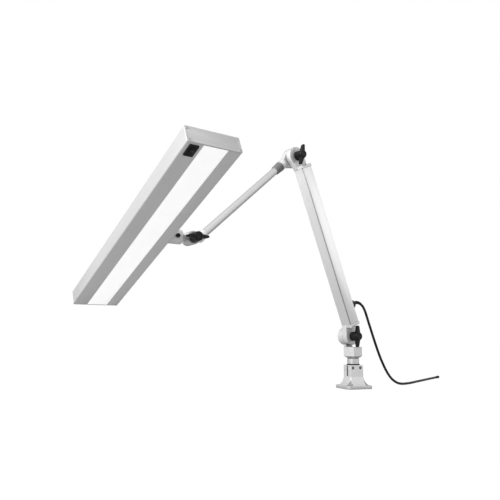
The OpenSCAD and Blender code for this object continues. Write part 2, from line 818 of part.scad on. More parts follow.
module upper_tube() {
    low = knuckle_len - knuckle_neck_len;
    high = upper_arm_len - wrist_socket_len + socket_depth;
    color("silver") at_upper_arm() translate([-low, tube_y, tube_rise]) rotate([0, -90, 0])
        linear_extrude(high - low) ring_2d(tube_d/2, tube_d/2 - tube_wall);
}

module wrist_lug() {
    sleeve_r = tube_d/2 + socket_wall;
    sleeve_x = wrist_socket_len - upper_arm_len;
    color("silver") at_upper_arm() difference() {
        union() {
            translate([-upper_arm_len, 0, wrist_rise]) {
                dome_lug(wrist_lug_r, far_lug_y, lug_end_y);
                slab(far_lug_y, lug_end_y - lug_edge)
                    taper_link(wrist_lug_r - 2*skin, sleeve_r - 1, wrist_socket_len - socket_depth,
                        tube_rise - wrist_rise);
            }
            translate([sleeve_x, tube_y, tube_rise]) rotate([0, -90, 0])
                cylinder(h = socket_depth + socket_root, r = sleeve_r);
        }
        translate([sleeve_x + 1, tube_y, tube_rise]) rotate([0, -90, 0])
            cylinder(h = socket_depth + 1 + slip_gap, r = tube_d/2 + fit_gap);
        translate([-upper_arm_len, 0, wrist_rise]) pin_y(far_lug_y - 1, lug_end_y + 1, bolt_bore_r);
    }
}

module wrist_bolt() {
    at_wrist() hinge_bolt();
}

module wrist_washer() {
    at_wrist() hinge_washer();
}

module wrist_knob() {
    at_wrist() wing_knob(wrist_knob_turn);
}

module at_boss() {
    at_wrist() translate([-boss_gap, roll_y, -roll_drop]) rotate([0, -90, 0]) children();
}

module boss_screw_place() {
    at_wrist() translate([-boss_gap - boss_len/2, roll_y - boss_r, -roll_drop])
        rotate([-90, 0, 0]) children();
}

module wrist_link() {
    color("silver") difference() {
        union() {
            at_wrist() pin_y(0, near_lug_t, wrist_lug_r);
            at_wrist() translate([-boss_gap - 1, 0, -roll_drop - link_neck_h/2])
                cube([boss_gap + 1, near_lug_t, link_neck_h]);
            at_boss() rotate_extrude() polygon([
                [0, 0], [boss_r - boss_edge, 0], [boss_r, boss_edge], [boss_r, boss_len - boss_edge],
                [boss_r - boss_edge, boss_len], [0, boss_len]
            ]);
        }
        at_wrist() pin_y(-1, near_lug_t + 1, bolt_bore_r);
        at_boss() translate([0, 0, boss_floor]) cylinder(h = boss_len, d = head_spigot_d + 2*fit_gap);
        boss_screw_place() translate([0, 0, -1]) cylinder(h = boss_r + 1, d = boss_screw_d + 2*fit_gap);
    }
}

module boss_screw() {
    color("black") boss_screw_place() {
        translate([0, 0, -boss_cap_h]) cylinder(h = boss_cap_h, r = boss_cap_r);
        translate([0, 0, -skin]) cylinder(h = boss_r - head_spigot_d/2 - slip_gap + skin, d = boss_screw_d);
    }
}

module head_spigot() {
    plate_w = 2*(head_t/2 - head_wall - 2*port_r + port_lap - slip_gap);
    pin_len = head_wall + turn_gap + boss_len - boss_floor - slip_gap;
    color("gray") at_head() translate([head_w/2, 0, 0]) rotate([0, 90, 0]) {
        translate([0, 0, -head_wall - spigot_plate_t/2])
            cube([plate_w, spigot_plate_len, spigot_plate_t], center = true);
        translate([0, 0, -head_wall - skin]) cylinder(h = pin_len + skin, d = head_spigot_d);
    }
}

module port_places() {
    port_in = head_wall + port_r - port_lap;
    for (x = [-1, 1], z = [-1, 1])
        translate([x*(head_w/2 - port_in), z*(head_t/2 - port_in)]) children();
}

module head_housing() {
    color("silver") at_head() difference() {
        slab(-housing_len/2, housing_len/2) difference() {
            rounded_rect(head_w, head_t, head_corner_r);
            difference() {
                square([head_w - 2*head_wall, head_t - 2*head_wall], center = true);
                port_places() circle(r = port_r);
            }
            port_places() circle(r = cap_screw_d/2 + fit_gap);
            translate([strip_x, -head_t/2]) square([strip_w, 4*head_wall], center = true);
        }
        translate([head_w/2 - 2*head_wall, 0, 0]) rotate([0, 90, 0])
            cylinder(h = 4*head_wall, r = head_spigot_d/2 + fit_gap);
        translate([bezel_x, bezel_y, -head_t/2])
            cube([switch_w + 2*slip_gap, switch_len + 2*slip_gap, 2*(head_wall + 2*port_r)], center = true);
    }
}

module reflector_tray() {
    tall = inner_top - flange_in;
    color("white") at_head() slab(-housing_len/2, housing_len/2) translate([strip_x, 0]) difference() {
        translate([-tray_w/2 - tray_t, flange_in]) square([tray_w + 2*tray_t, tall]);
        translate([-tray_w/2, flange_in - 1]) square([tray_w, tall + 1 - tray_t]);
    }
}

module light_board() {
    color("whitesmoke") at_head() translate([strip_x - board_w/2, board_margin - housing_len/2,
        inner_top - tray_t - board_t]) cube([board_w, housing_len - 2*board_margin, board_t]);
}

module light_chips() {
    pitch = (housing_len - 2*chip_margin)/(chip_count - 1);
    color("khaki") at_head() for (i = [0 : chip_count - 1])
        translate([strip_x - chip_w/2, chip_margin - housing_len/2 - chip_w/2 + i*pitch,
            inner_top - tray_t - board_t - chip_h]) cube([chip_w, chip_w, chip_h]);
}

module driver_box() {
    color("gainsboro") at_head() translate([strip_x - tray_w/2 - tray_t - slip_gap - driver_w,
        driver_inset - head_len/2, inner_top - driver_h]) cube([driver_w, driver_len, driver_h]);
}

module diffuser() {
    lip_w = strip_w + 2*diffuser_lip;
    color("white") at_head() slab(-housing_len/2, housing_len/2) translate([strip_x, 0]) {
        translate([-lip_w/2, flange_in]) square([lip_w, diffuser_t]);
        translate([slip_gap - strip_w/2, flange_in - diffuser_t])
            square([strip_w - 2*slip_gap, diffuser_t + skin]);
    }
}

module end_cap() {
    difference() {
        slab(0, cap_t) rounded_rect(head_w, head_t, head_corner_r);
        slab(-1, cap_t + 1) port_places() circle(r = cap_screw_d/2 + fit_gap);
    }
}

module end_cap_near() {
    color("lightgray") at_head() translate([0, -head_len/2, 0]) end_cap();
}

module end_cap_far() {
    color("lightgray") at_head() translate([0, head_len/2 - cap_t, 0]) end_cap();
}

module cap_screws() {
    color("gray") at_head() for (s = [-1, 1]) scale([1, s, 1]) {
        slab(head_len/2, head_len/2 + cap_head_h) port_places() circle(r = cap_screw_d);
        slab(head_len/2 - cap_t - cap_screw_len, head_len/2 + skin)
            port_places() circle(r = cap_screw_d/2);
    }
}

module switch_bezel() {
    color("black") at_switch() difference() {
        union() {
            translate([0, 0, -head_t/2 - bezel_h]) linear_extrude(bezel_h)
                rounded_rect(bezel_w, bezel_len, bezel_corner_r);
            translate([-switch_w/2, -switch_len/2, -head_t/2 - skin])
                cube([switch_w, switch_len, switch_depth + skin]);
        }
        translate([-window_w/2, -window_len/2, -head_t/2 - bezel_h - 1])
            cube([window_w, window_len, bezel_h + 1 + rocker_r + rocker_back]);
        translate([-bezel_w/2, 0, rocker_z]) rotate([0, 90, 0])
            cylinder(h = bezel_w, r = rocker_axle_d/2 + fit_gap);
    }
}

module switch_rocker() {
    high = bezel_h + rocker_proud + rocker_z + head_t/2;
    color("black") at_switch() translate([0, 0, rocker_z]) rotate([rocker_tilt, 0, 0]) {
        translate([turn_gap - window_w/2, 0, 0]) rotate([90, 0, 90])
            linear_extrude(window_w - 2*turn_gap) intersection() {
                circle(r = rocker_r);
                polygon([
                    [-rocker_r, rocker_back], [rocker_r, rocker_back],
                    [rocker_r, -high - rocker_r*sin(rocker_tilt)], [0, -high + rocker_dip],
                    [-rocker_r, -high - rocker_r*sin(rocker_tilt)]
                ]);
            }
        translate([-window_w/2 - rocker_seat, 0, 0]) rotate([0, 90, 0])
            cylinder(h = window_w + 2*rocker_seat, d = rocker_axle_d);
    }
}

module mains_lead() {
    color("black") swept_tube(lead_route, lead_d/2, lead_d/2, 10,
        lead_route[1] - relief_route[len(relief_route) - 2], lead_end_dir);
}

module lead_end_sleeve() {
    flat = norm([lead_end_dir.x, lead_end_dir.y]);
    color("black") translate(lead_route[len(lead_route) - 1])
        rotate([0, 90 - atan2(lead_end_dir.z, flat), atan2(lead_end_dir.y, lead_end_dir.x)])
        cylinder(h = end_sleeve_len, d = end_sleeve_d);
}

foot();
socket_bush();
grub_screws();
swivel_ring();
swivel_spigot();
keeper_washer();
keeper_screw();
swivel_casting();
shoulder_bolt();
shoulder_washer();
shoulder_knob();
arm_foot_casting();
arm_profile();
arm_head_casting();
arm_screws();
gland_body();
gland_nut();
strain_relief();
elbow_bolt();
elbow_washer();
elbow_knob();
elbow_knuckle();
tube_ferrule();
upper_tube();
wrist_lug();
wrist_bolt();
wrist_washer();
wrist_knob();
wrist_link();
boss_screw();
head_spigot();
head_housing();
reflector_tray();
light_board();
light_chips();
driver_box();
diffuser();
end_cap_near();
end_cap_far();
cap_screws();
switch_bezel();
switch_rocker();
mains_lead();
lead_end_sleeve();
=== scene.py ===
import json
import math

import bpy
from mathutils import Matrix, Vector


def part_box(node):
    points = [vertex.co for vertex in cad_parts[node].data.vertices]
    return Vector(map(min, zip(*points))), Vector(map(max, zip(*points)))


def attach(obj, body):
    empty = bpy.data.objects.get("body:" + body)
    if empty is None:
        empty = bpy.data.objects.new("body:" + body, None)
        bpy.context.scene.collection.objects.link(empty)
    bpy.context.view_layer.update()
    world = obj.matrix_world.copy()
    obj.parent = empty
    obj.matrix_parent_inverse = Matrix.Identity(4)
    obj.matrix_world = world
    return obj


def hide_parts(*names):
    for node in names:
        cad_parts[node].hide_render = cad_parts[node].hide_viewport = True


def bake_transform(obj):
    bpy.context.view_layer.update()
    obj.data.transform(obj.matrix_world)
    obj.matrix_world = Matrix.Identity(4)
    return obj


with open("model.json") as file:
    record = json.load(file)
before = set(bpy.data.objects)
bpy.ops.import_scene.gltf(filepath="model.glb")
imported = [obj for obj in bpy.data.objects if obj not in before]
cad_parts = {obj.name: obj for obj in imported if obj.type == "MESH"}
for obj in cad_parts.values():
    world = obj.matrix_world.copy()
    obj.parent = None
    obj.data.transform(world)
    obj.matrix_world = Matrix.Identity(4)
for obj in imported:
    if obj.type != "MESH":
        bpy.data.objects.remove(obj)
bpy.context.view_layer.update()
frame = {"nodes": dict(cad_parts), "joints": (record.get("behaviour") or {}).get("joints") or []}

MM = 0.001

# The view: a lens of about 40 mm that stands low, to the left of the lamp, and looks
# slightly up at it. What it sees is the lamp with the light face of its head showing.
bpy.ops.object.select_all(action="DESELECT")
bpy.ops.object.camera_add(
    location=(-1.0417, -1.0431, 0.1317), rotation=(math.radians(98.7), 0, math.radians(-34.7)))
camera = bpy.context.object
camera.data.sensor_width = 36
camera.data.lens = 40.25
bpy.context.scene.camera = camera
bpy.context.scene.view_settings.view_transform = "Standard"


class Wire:
    """A socket in a finish's node tree. Arithmetic on wires adds Math nodes."""

    def __init__(self, tree, socket=None):
        self.tree = tree
        self.socket = socket

    def node(self, kind, settings=None, sockets=None, output=0):
        """Adds a node. Its settings come first, then the values or wires of its sockets."""
        made = self.tree.nodes.new("ShaderNode" + kind)
        for name, value in (settings or {}).items():
            if name == "stops":
                ramp = made.color_ramp.elements
                for stop, (place, level) in zip((ramp[0], ramp[1]), value):
                    stop.position = place
                    stop.color = (level, level, level, 1)
            else:
                setattr(made, name, value)
        for name, value in (sockets or {}).items():
            if isinstance(value, Wire):
                self.tree.links.new(value.socket, made.inputs[name])
            else:
                made.inputs[name].default_value = value
        return Wire(self.tree, made.outputs[output] if made.outputs else None)

    def math(self, operation, first, second):
        return self.node("Math", {"operation": operation}, {0: first, 1: second})

    def __add__(self, other):
        return self.math("ADD", self, other)

    def __mul__(self, other):
        return self.math("MULTIPLY", self, other)

    def __gt__(self, other):
        return self.math("GREATER_THAN", self, other)

    def __pow__(self, other):
        return self.math("POWER", self, other)

    def __abs__(self):
        return self.node("Math", {"operation": "ABSOLUTE"}, {0: self})

    __radd__ = __add__
    __rmul__ = __mul__

    def output(self, number):
        """Another output of the node that this wire comes from."""
        return Wire(self.tree, self.socket.node.outputs[number])

    def place(self):
        """The point on the piece, in the row frame."""
        return self.node("TexCoord", output=3)

    def noise(self, point, scale, detail=3.0, rough=0.6):
        sockets = {"Vector": point, "Scale": scale, "Detail": detail, "Roughness": rough}
        return self.node("TexNoise", sockets=sockets)

    def tint(self, share, first, second):
        """The first colour where the share is 0, the second where it is 1."""
        return self.node("Mix", {"data_type": "RGBA"}, {0: share, 6: first, 7: second}, output=2)

    def open_share(self, reach):
        """1 on an open surface, less where other surfaces stand round it within reach. The cast finish
        darkens by it to paint shade into recesses.
        """
        return self.node("AmbientOcclusion", {"samples": 6}, {"Distance": reach}, output=1)

    def slant(self):
        """0 where a surface faces the eye, 1 where it turns away at an outline. The finishes darken by it to
        paint shade along outlines.
        """
        return self.node("LayerWeight", sockets={"Blend": 0.5}, output=1)

    def rim(self, low, high):
        """0 on flat surfaces, 1 on outer edges."""
        crease = self.node("NewGeometry", output=7)
        return self.node("ValToRGB", {"stops": ((low, 0), (high, 1))}, {"Fac": crease})

    def shade(self, height=None, depth=0.0, **sockets):
        """Ends the tree: the shader, its bump of that height in metres, and the output."""
        if height is not None:
            sockets["Normal"] = self.node("Bump", sockets={"Height": height, "Distance": depth})
        sockets = {name.replace("_", " "): value for name, value in sockets.items()}
        shader = self.node("BsdfPrincipled", sockets=sockets)
        self.node("OutputMaterial", sockets={"Surface": shader})


def new_finish(name):
    """An empty material and the wire that its nodes are drawn from."""
    material = bpy.data.materials.new(name)
    material.use_nodes = True
    material.node_tree.nodes.clear()
    return material, Wire(material.node_tree)


def grey(level):
    """The colour of a neutral grey that shows as that level of 255."""
    share = level / 255
    value = share / 12.92 if share <= 0.04045 else ((share + 0.055) / 1.055) ** 2.4
    return (value, value, value, 1)


# Mains lead: round cable with a black rubber sheath, held in the gland by a ribbed
# strain relief that is moulded onto it. It hangs from the gland and lies along the bench
# up to the small moulded cap on its free end.
relief_points = [
    (0.0067, 0, 0.2141), (0.0125, 0, 0.2161), (0.0187, 0, 0.217), (0.025, 0, 0.2163), (0.031, 0, 0.2142)]
lead_points = [
    (0.031, 0, 0.2142), (0.0363, -0.0005, 0.2107), (0.0406, -0.0012, 0.206), (0.0445, -0.0017, 0.1995),
    (0.0482, -0.0023, 0.191), (0.0518, -0.003, 0.18), (0.0562, -0.004, 0.166), (0.061, -0.005, 0.152),
    (0.0665, -0.006, 0.136), (0.072, -0.007, 0.12), (0.078, -0.008, 0.104), (0.085, -0.008, 0.088),
    (0.0925, -0.008, 0.073), (0.1005, -0.008, 0.059), (0.109, -0.008, 0.045), (0.1185, -0.008, 0.0325),
    (0.129, -0.008, 0.021), (0.141, -0.009, 0.012), (0.154, -0.01, 0.006), (0.169, -0.01, 0.0036),
    (0.184, -0.009, 0.0033), (0.2, -0.006, 0.0033), (0.217, -0.001, 0.0033), (0.234, 0.006, 0.0033),
    (0.251, 0.013, 0.0033), (0.268, 0.02, 0.0033), (0.286, 0.027, 0.0033), (0.304, 0.034, 0.0033),
    (0.322, 0.041, 0.0033), (0.34, 0.048, 0.0033), (0.358, 0.0555, 0.0033), (0.376, 0.0625, 0.0033),
    (0.394, 0.0695, 0.0033), (0.41, 0.075, 0.0034), (0.425, 0.0795, 0.0038), (0.439, 0.0835, 0.0041)]
lead_d = 6.5*MM
relief_r, relief_tip_r = 5*MM, 3.9*MM


def black_rubber():
    """Matt black sheath: faint dust and the fine grain of the extruded rubber."""
    material, w = new_finish("black_rubber")
    grain = w.noise(w.place(), 1800)
    dust = w.node("ValToRGB", {"stops": ((0.5, 0), (0.8, 1))}, {"Fac": w.noise(w.place(), 35)})
    w.shade(grain, 0.04*MM, Base_Color=w.tint(0.5*dust, grey(14), grey(34)),
            Roughness=0.5 + 0.15*grain, Specular_IOR_Level=0.25)
    return material


def pick(*pieces):
    """Selects these pieces and nothing else. The first becomes the active one."""
    bpy.ops.object.select_all(action="DESELECT")
    for piece in pieces:
        piece.select_set(True)
    bpy.context.view_layer.objects.active = pieces[0]


def as_mesh(name, curve):
    """Puts a curve into the scene as a mesh."""
    drawn = bpy.data.objects.new(name, curve)
    bpy.context.scene.collection.objects.link(drawn)
    pick(drawn)
    bpy.ops.object.convert(target="MESH")
    return drawn


def smooth_line(route, steps=6):
    """Points close together on the smooth curve that a route of a few points gives."""
    curve = bpy.data.curves.new("route", "CURVE")
    curve.dimensions = "3D"
    curve.resolution_u = steps
    spline = curve.splines.new("NURBS")
    spline.points.add(len(route) - 1)
    for point, place in zip(spline.points, route):
        point.co = (*place, 1)
    spline.order_u = 3
    spline.use_endpoint_u = True
    drawn = as_mesh("route", curve)
    line = [v.co.copy() for v in drawn.data.vertices]
    bpy.data.objects.remove(drawn)
    return line


def tube_along(name, line, radius_at, sides_step=4):
    """A round solid along a line, with the radius that each share of its length has."""
    curve = bpy.data.curves.new(name, "CURVE")
    curve.dimensions = "3D"
    curve.bevel_depth = 1
    curve.bevel_resolution = sides_step
    curve.use_fill_caps = True
    spline = curve.splines.new("POLY")
    spline.points.add(len(line) - 1)
    for i, (point, place) in enumerate(zip(spline.points, line)):
        point.co = (*place, 1)
        point.radius = radius_at(i / (len(line) - 1))
    tube = as_mesh(name, curve)
    bpy.ops.object.shade_smooth_by_angle(angle=math.radians(40))
    return tube


rubber = black_rubber()
lead_line = smooth_line(lead_points)
lead = tube_along("mains_lead_cable", lead_line, lambda share: lead_d/2)
lead.data.materials.append(rubber)

relief_line = smooth_line(relief_points, 12)
relief_ribs, rib_depth, relief_collar = 6, 0.8*MM, 0.12


def relief_radius(share):
    """A tapered boot with ribs cut into it and a plain collar at the gland."""
    outer = relief_r + (relief_tip_r - relief_r)*share
    in_groove = math.cos(2*math.pi*relief_ribs*share) < -0.1 and share > relief_collar
    return outer - rib_depth if in_groove else outer


relief = tube_along("strain_relief_boot", relief_line, relief_radius)
relief.data.materials.append(rubber)
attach(relief, "lower_arm")
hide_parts("strain_relief")

sleeve_d, sleeve_len, sleeve_steps = 8*MM, 18*MM, 24
mouth_round, tip_round = 0.9*MM, 1.4*MM


def sleeve_radius(share):
    """A straight cap, rounded over its first eighth and over its last tenth."""
    at_mouth, at_tip = max(0, 1 - share/0.12), max(0, share/0.1 - 9)
    return sleeve_d/2 - mouth_round*at_mouth**2 - tip_round*at_tip**2


lead_end = lead_line[-1]
sleeve_stop = lead_end + sleeve_len*(lead_end - lead_line[-2]).normalized()
sleeve_line = [lead_end.lerp(sleeve_stop, i/sleeve_steps) for i in range(sleeve_steps + 1)]
sleeve = tube_along("lead_end_cap", sleeve_line, sleeve_radius)
sleeve.data.materials.append(rubber)
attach(sleeve, "swivel")
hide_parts("lead_end_sleeve")

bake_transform(lead)
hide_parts("mains_lead")

# Studio: a white bench, duller where it shows in metal, a white room for the lens and for
# reflections, and soft lights from the upper left and from the right of the lens.
bench_w, bench_glow, bench_white, bench_shine, paper_level = 14, 1.07, 0.93, 0.5, 0.4
bpy.ops.object.select_all(action="DESELECT")
bpy.ops.mesh.primitive_plane_add(size=bench_w)
bench = bpy.context.object
bench.name = "bench"
bench_finish, w = new_finish("bench_white")
rays = w.node("LightPath", output=0)
glossy = w.node("LightPath", output=3)
seen = w.math("MAXIMUM", rays, bench_shine*glossy)
paper = w.node("BsdfDiffuse", sockets={"Color": (paper_level, paper_level, paper_level, 1)})
glow = w.node("Emission", sockets={"Color": (1, 1, 1, 1), "Strength": bench_glow})
top = w.node("MixShader", sockets={0: bench_white*seen, 1: paper, 2: glow})
w.node("OutputMaterial", sockets={"Surface": top})
bench.data.materials.append(bench_finish)

world = bpy.data.worlds.new("room")
bpy.context.scene.world = world
world.use_nodes = True
world.node_tree.nodes.clear()
w = Wire(world.node_tree)
seen = w.math("MAXIMUM", w.node("LightPath", output=0), w.node("LightPath", output=3))
seen = w.math("MAXIMUM", seen, w.node("LightPath", output=6))
room_level = 0.34
room = w.node("Background", sockets={"Color": (1, 1, 1, 1), "Strength": room_level + (1 - room_level)*seen})
w.node("OutputWorld", sockets={"Surface": room})


def soft_light(name, place, aim, size, power):
    """A square soft box that looks at a point."""
    bpy.ops.object.light_add(type="AREA", location=place)
    lamp = bpy.context.object
    lamp.name = name
    lamp.rotation_euler = (Vector(aim) - Vector(place)).to_track_quat("-Z", "Y").to_euler()
    lamp.data.size = size
    lamp.data.energy = power


lamp_middle = (-0.25, 0, 0.35)
soft_light("key_light", (-3.3, -0.6, 1.7), lamp_middle, size=1.6, power=125)
soft_light("side_light", (2.2, -2.2, 1.0), lamp_middle, size=2.6, power=13)

# Foot: die-cast alloy, tumbled and lacquered. A plate with an open pocket for a screw at
# each corner, a skirt that sweeps up from it and a square socket with a clamp slot.
hinge_at = {joint["name"]: Vector(joint["pos_m"]) for joint in frame["joints"]}
foot_w, plate_t, plate_corner_r = 70*MM, 8*MM, 8*MM
buttress_w, socket_w, recess_h = 35*MM, 36*MM, 17*MM
foot_turn = math.radians(-15)
socket_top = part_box("swivel_ring")[0].z
screw_reach, screw_hole_r, pocket_r = 26*MM, 3.2*MM, 7.5*MM
slot_w, slot_low, slot_high = 7*MM, 31*MM, 56*MM
grub_reach, grub_r, grub_z, grub_gap, grub_floor = 10.5*MM, 3.25*MM, 51*MM, 0.4*MM, 10*MM
recess_r, socket_bore_r, skirt_reach = 17*MM, 13.1*MM, 33
cast_grain, cast_passes, cast_smooth = 0.55*MM, 8, 70
flare = [(1.2, 31.6), (2.3, 28.4), (4.1, 24.4), (3.9, 21.6), (4.1, 19.8), (5.4, 18.1)]


def begin(kind, **settings):
    """Adds a primitive with nothing else selected, and puts its place into its mesh."""
    bpy.ops.object.select_all(action="DESELECT")
    getattr(bpy.ops.mesh, f"primitive_{kind}_add")(**settings)
    bpy.ops.object.transform_apply(location=True, rotation=True, scale=True)
    return bpy.context.object


def block(low, high):
    """A box between two corners."""
    low, high = Vector(low), Vector(high)
    return begin("cube", size=1, location=(low + high)/2, scale=high - low)


def drum(radius, start, end, sides=96):
    """A round bar between two points."""
    start, end = Vector(start), Vector(end)
    return begin(
        "cylinder", vertices=sides, radius=radius, depth=(end - start).length,
        location=(start + end)/2, rotation=(end - start).to_track_quat("Z", "Y").to_euler())


def choose(piece, faces=None, edges=None):
    """Opens edit mode with only the faces, or the edges, that pass the test selected."""
    pick(piece)
    mesh = piece.data
    for part in (mesh.vertices, mesh.edges, mesh.polygons):
        part.foreach_set("select", [False]*len(part))
    if faces:
        for face in mesh.polygons:
            face.select = faces(face.center, face.normal)
    if edges:
        for edge in mesh.edges:
            edge.select = edges(*(mesh.vertices[i].co for i in edge.vertices))
    bpy.context.tool_settings.mesh_select_mode = (False, edges is not None, faces is not None)
    bpy.ops.object.mode_set(mode="EDIT")


def done():
    """Back from edit mode."""
    bpy.ops.object.mode_set(mode="OBJECT")


def draw_out(centre, steps, way=(0, 0, 1)):
    """Extrudes the chosen end face in steps, each so far that way and scaled by so much."""
    centre, way = Vector(centre), Vector(way)
    for distance, share in steps:
        bpy.ops.mesh.extrude_region_move(TRANSFORM_OT_translate={"value": way*distance})
        centre = centre + way*distance
        share = (share,)*3 if isinstance(share, (int, float)) else share
        bpy.ops.transform.resize(value=share, center_override=centre)


def modify(piece, kind, **settings):
    """Applies one modifier to a piece."""
    bpy.context.view_layer.objects.active = piece
    step = piece.modifiers.new("step", kind)
    for name, value in settings.items():
        setattr(step, name, value)
    bpy.ops.object.modifier_apply(modifier=step.name)


def combine(piece, *others, how="UNION"):
    """Unites a piece with others, or cuts them out of it, and takes the others away."""
    for other in others:
        modify(piece, "BOOLEAN", operation=how, solver="EXACT", object=other)
        bpy.data.objects.remove(other)
    return piece


def cut(piece, *others):
    """Cuts the others out of a piece."""
    return combine(piece, *others, how="DIFFERENCE")


def round_edges(piece, width, segments=2, angle=35):
    """Rounds every sharp edge of a piece by a bevel."""
    modify(piece, "BEVEL", width=width, segments=segments, limit_method="ANGLE",
           angle_limit=math.radians(angle), harden_normals=False)


def soften(piece, grain, passes, keep=0.35):
    """Gives a cast or moulded piece its soft edges and fillets, in faces of that size."""
    modify(piece, "REMESH", mode="VOXEL", voxel_size=grain)
    modify(piece, "SMOOTH", factor=0.5, iterations=passes)
    modify(piece, "DECIMATE", ratio=keep)


def put(piece, name, where=None, angle=40):
    """Names a finished piece and moves its mesh to where it belongs."""
    pick(piece)
    piece.name = name
    piece.data.name = name
    if where is not None:
        piece.matrix_world = where
        bpy.ops.object.transform_apply(location=True, rotation=True, scale=True)
    bpy.ops.object.shade_smooth_by_angle(angle=math.radians(angle))
    return piece


def cast_alloy(level=237):
    """Lacquered die-cast alloy: a fine cast grain, cloudy patches, painted shade in its recesses and painted
    shade along its outlines.
    """
    material, w = new_finish("cast_alloy")
    point = w.place()
    grain = w.noise(point, 2600, 2.0)
    cloud = w.noise(point, 60, 4.0)
    skin = w.tint(cloud, grey(level - 8), grey(level + 6))
    # Painted shade: darker along the outlines, where the surface turns away from the eye.
    skin = w.tint(w.slant()**3, skin, grey(level - 120))
    # Painted shade: the base colour darkens in recesses, where other surfaces stand round it.
    w.shade(0.7*grain + 0.3*cloud, 0.05*MM,
            Base_Color=w.tint(w.open_share(14*MM), grey(level - 130), skin),
            Roughness=0.36 + 0.2*cloud, Metallic=0.25)
    return material


def turned(stations, sides=96):
    """A piece turned about +Z, from its height and radius at one station after another."""
    bottom, wide = stations[0]
    piece = begin("circle", vertices=sides, fill_type="NGON", radius=wide, location=(0, 0, bottom))
    choose(piece, faces=lambda c, n: True)
    for (low, wide), (high, narrow) in zip(stations, stations[1:]):
        draw_out((0, 0, low), [(high - low, (narrow/wide, narrow/wide, 1))])
    bpy.ops.mesh.select_all(action="SELECT")
    bpy.ops.mesh.normals_make_consistent(inside=False)
    done()
    return piece


def along(point, way):
    """The frame that stands +Z up at a point, in that direction."""
    return Matrix.Translation(point) @ Vector(way).to_track_quat("Z", "Y").to_matrix().to_4x4()


def fit(piece, name, body, nodes, material):
    """Gives a finished piece its surface and its body, and hides the CAD nodes it stands for."""
    piece.data.materials.clear()
    piece.data.materials.append(material)
    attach(piece, body)
    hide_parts(*nodes)
    return piece


alloy = cast_alloy()
foot = block((-foot_w/2, -foot_w/2, 0), (foot_w/2, foot_w/2, plate_t))
choose(foot, edges=lambda a, b: abs(a.z - b.z) > plate_t/2)
bpy.ops.mesh.bevel(offset=plate_corner_r, segments=6, affect="EDGES")
done()
for side in (0, 90):
    skirt = block((-skirt_reach*MM, -buttress_w/2, plate_t - MM), (skirt_reach*MM, buttress_w/2, plate_t))
    choose(skirt, faces=lambda c, n: n.z > 0.9)
    half, level = skirt_reach, plate_t
    for rise, reach in flare:
        draw_out((0, 0, level), [(rise*MM, (reach/half, 1, 1))])
        half, level = reach, level + rise*MM
    done()
    combine(foot, put(skirt, "skirt", Matrix.Rotation(math.radians(side), 4, "Z")))
combine(foot, block((-socket_w/2, -socket_w/2, plate_t), (socket_w/2, socket_w/2, socket_top)))
cut(foot, drum(recess_r, (0, 0, -MM), (0, 0, recess_h)), drum(socket_bore_r, (0, 0, 0), (0, 0, 2*socket_top)),
    block((-socket_w, -slot_w/2, slot_low), (0, slot_w/2, slot_high)))
for x in (-screw_reach, screw_reach):
    for y in (-screw_reach, screw_reach):
        cut(foot, drum(screw_hole_r, (x, y, -MM), (x, y, 2*plate_t), 48))
        cut(foot, drum(pocket_r, (x, y, plate_t), (x, y, socket_top), 64))
for x in (-grub_reach, grub_reach):
    cut(foot, drum(grub_r + grub_gap, (x, -socket_w, grub_z), (x, -grub_floor, grub_z), 48))
soften(foot, cast_grain, cast_passes)
put(foot, "die_cast_foot", Matrix.Rotation(foot_turn, 4, "Z"), angle=cast_smooth)
fit(foot, "die_cast_foot", "base", ["foot"], alloy)

# Socket bush, retaining washer and screws inside the foot: a black polymer bush, and
# plated steel for the rest. The two grub screws press through the socket on the bush.


def zinc_steel(name="steel", level=176):
    """Plated steel: turned lines that catch the light and a little uneven plating."""
    material, w = new_finish(name)
    point = w.place()
    turning = w.node("Mapping", sockets={"Vector": point, "Scale": (1, 1, 14)})
    lines = w.noise(turning, 900, 2.0)
    patch = w.noise(point, 90)
    w.shade(lines, 0.02*MM, Base_Color=w.tint(patch, grey(level - 14), grey(level + 14)),
            Roughness=0.24 + 0.16*lines, Metallic=0.85)
    return material


def black_plastic(name="black_plastic", level=15):
    """Black glass-filled nylon with a fine moulded grain."""
    material, w = new_finish(name)
    point = w.place()
    grain = w.noise(point, 1500, 2.0)
    skin = w.tint(w.noise(point, 70), grey(level - 4), grey(level + 6))
    w.shade(grain, 0.04*MM, Base_Color=skin, Roughness=0.4 + 0.16*grain, Specular_IOR_Level=0.22)
    return material


def dress(material, *names):
    """Gives CAD pieces their surface. Their meshes stay as they are."""
    for name in names:
        for place in frame["nodes"][name].material_slots:
            place.material = material


steel, nylon = zinc_steel(), black_plastic()
bearing_black = black_plastic("bearing_black", level=36)
dress(steel, "keeper_washer", "keeper_screw", "arm_screws", "head_spigot")
dress(bearing_black, "socket_bush", "shoulder_washer", "elbow_washer", "wrist_washer")

grub_sunk, grub_len, key_r, key_depth = 0.7*MM, 6.8*MM, 1.7*MM, 3.4*MM
grubs = []
for x in (-grub_reach, grub_reach):
    grub = drum(grub_r - 0.05*MM, (x, grub_sunk - socket_w/2, grub_z), (x, grub_len - socket_w/2, grub_z), 64)
    cut(grub, drum(key_r, (x, -socket_w/2, grub_z), (x, key_depth - socket_w/2, grub_z), 6))
    round_edges(grub, 0.3*MM)
    grubs.append(grub)
grub = combine(grubs[0], grubs[1])
put(grub, "clamp_grub_screws", Matrix.Rotation(foot_turn, 4, "Z"))
fit(grub, "clamp_grub_screws", "base", ["grub_screws"], zinc_steel("grub_steel", level=118))

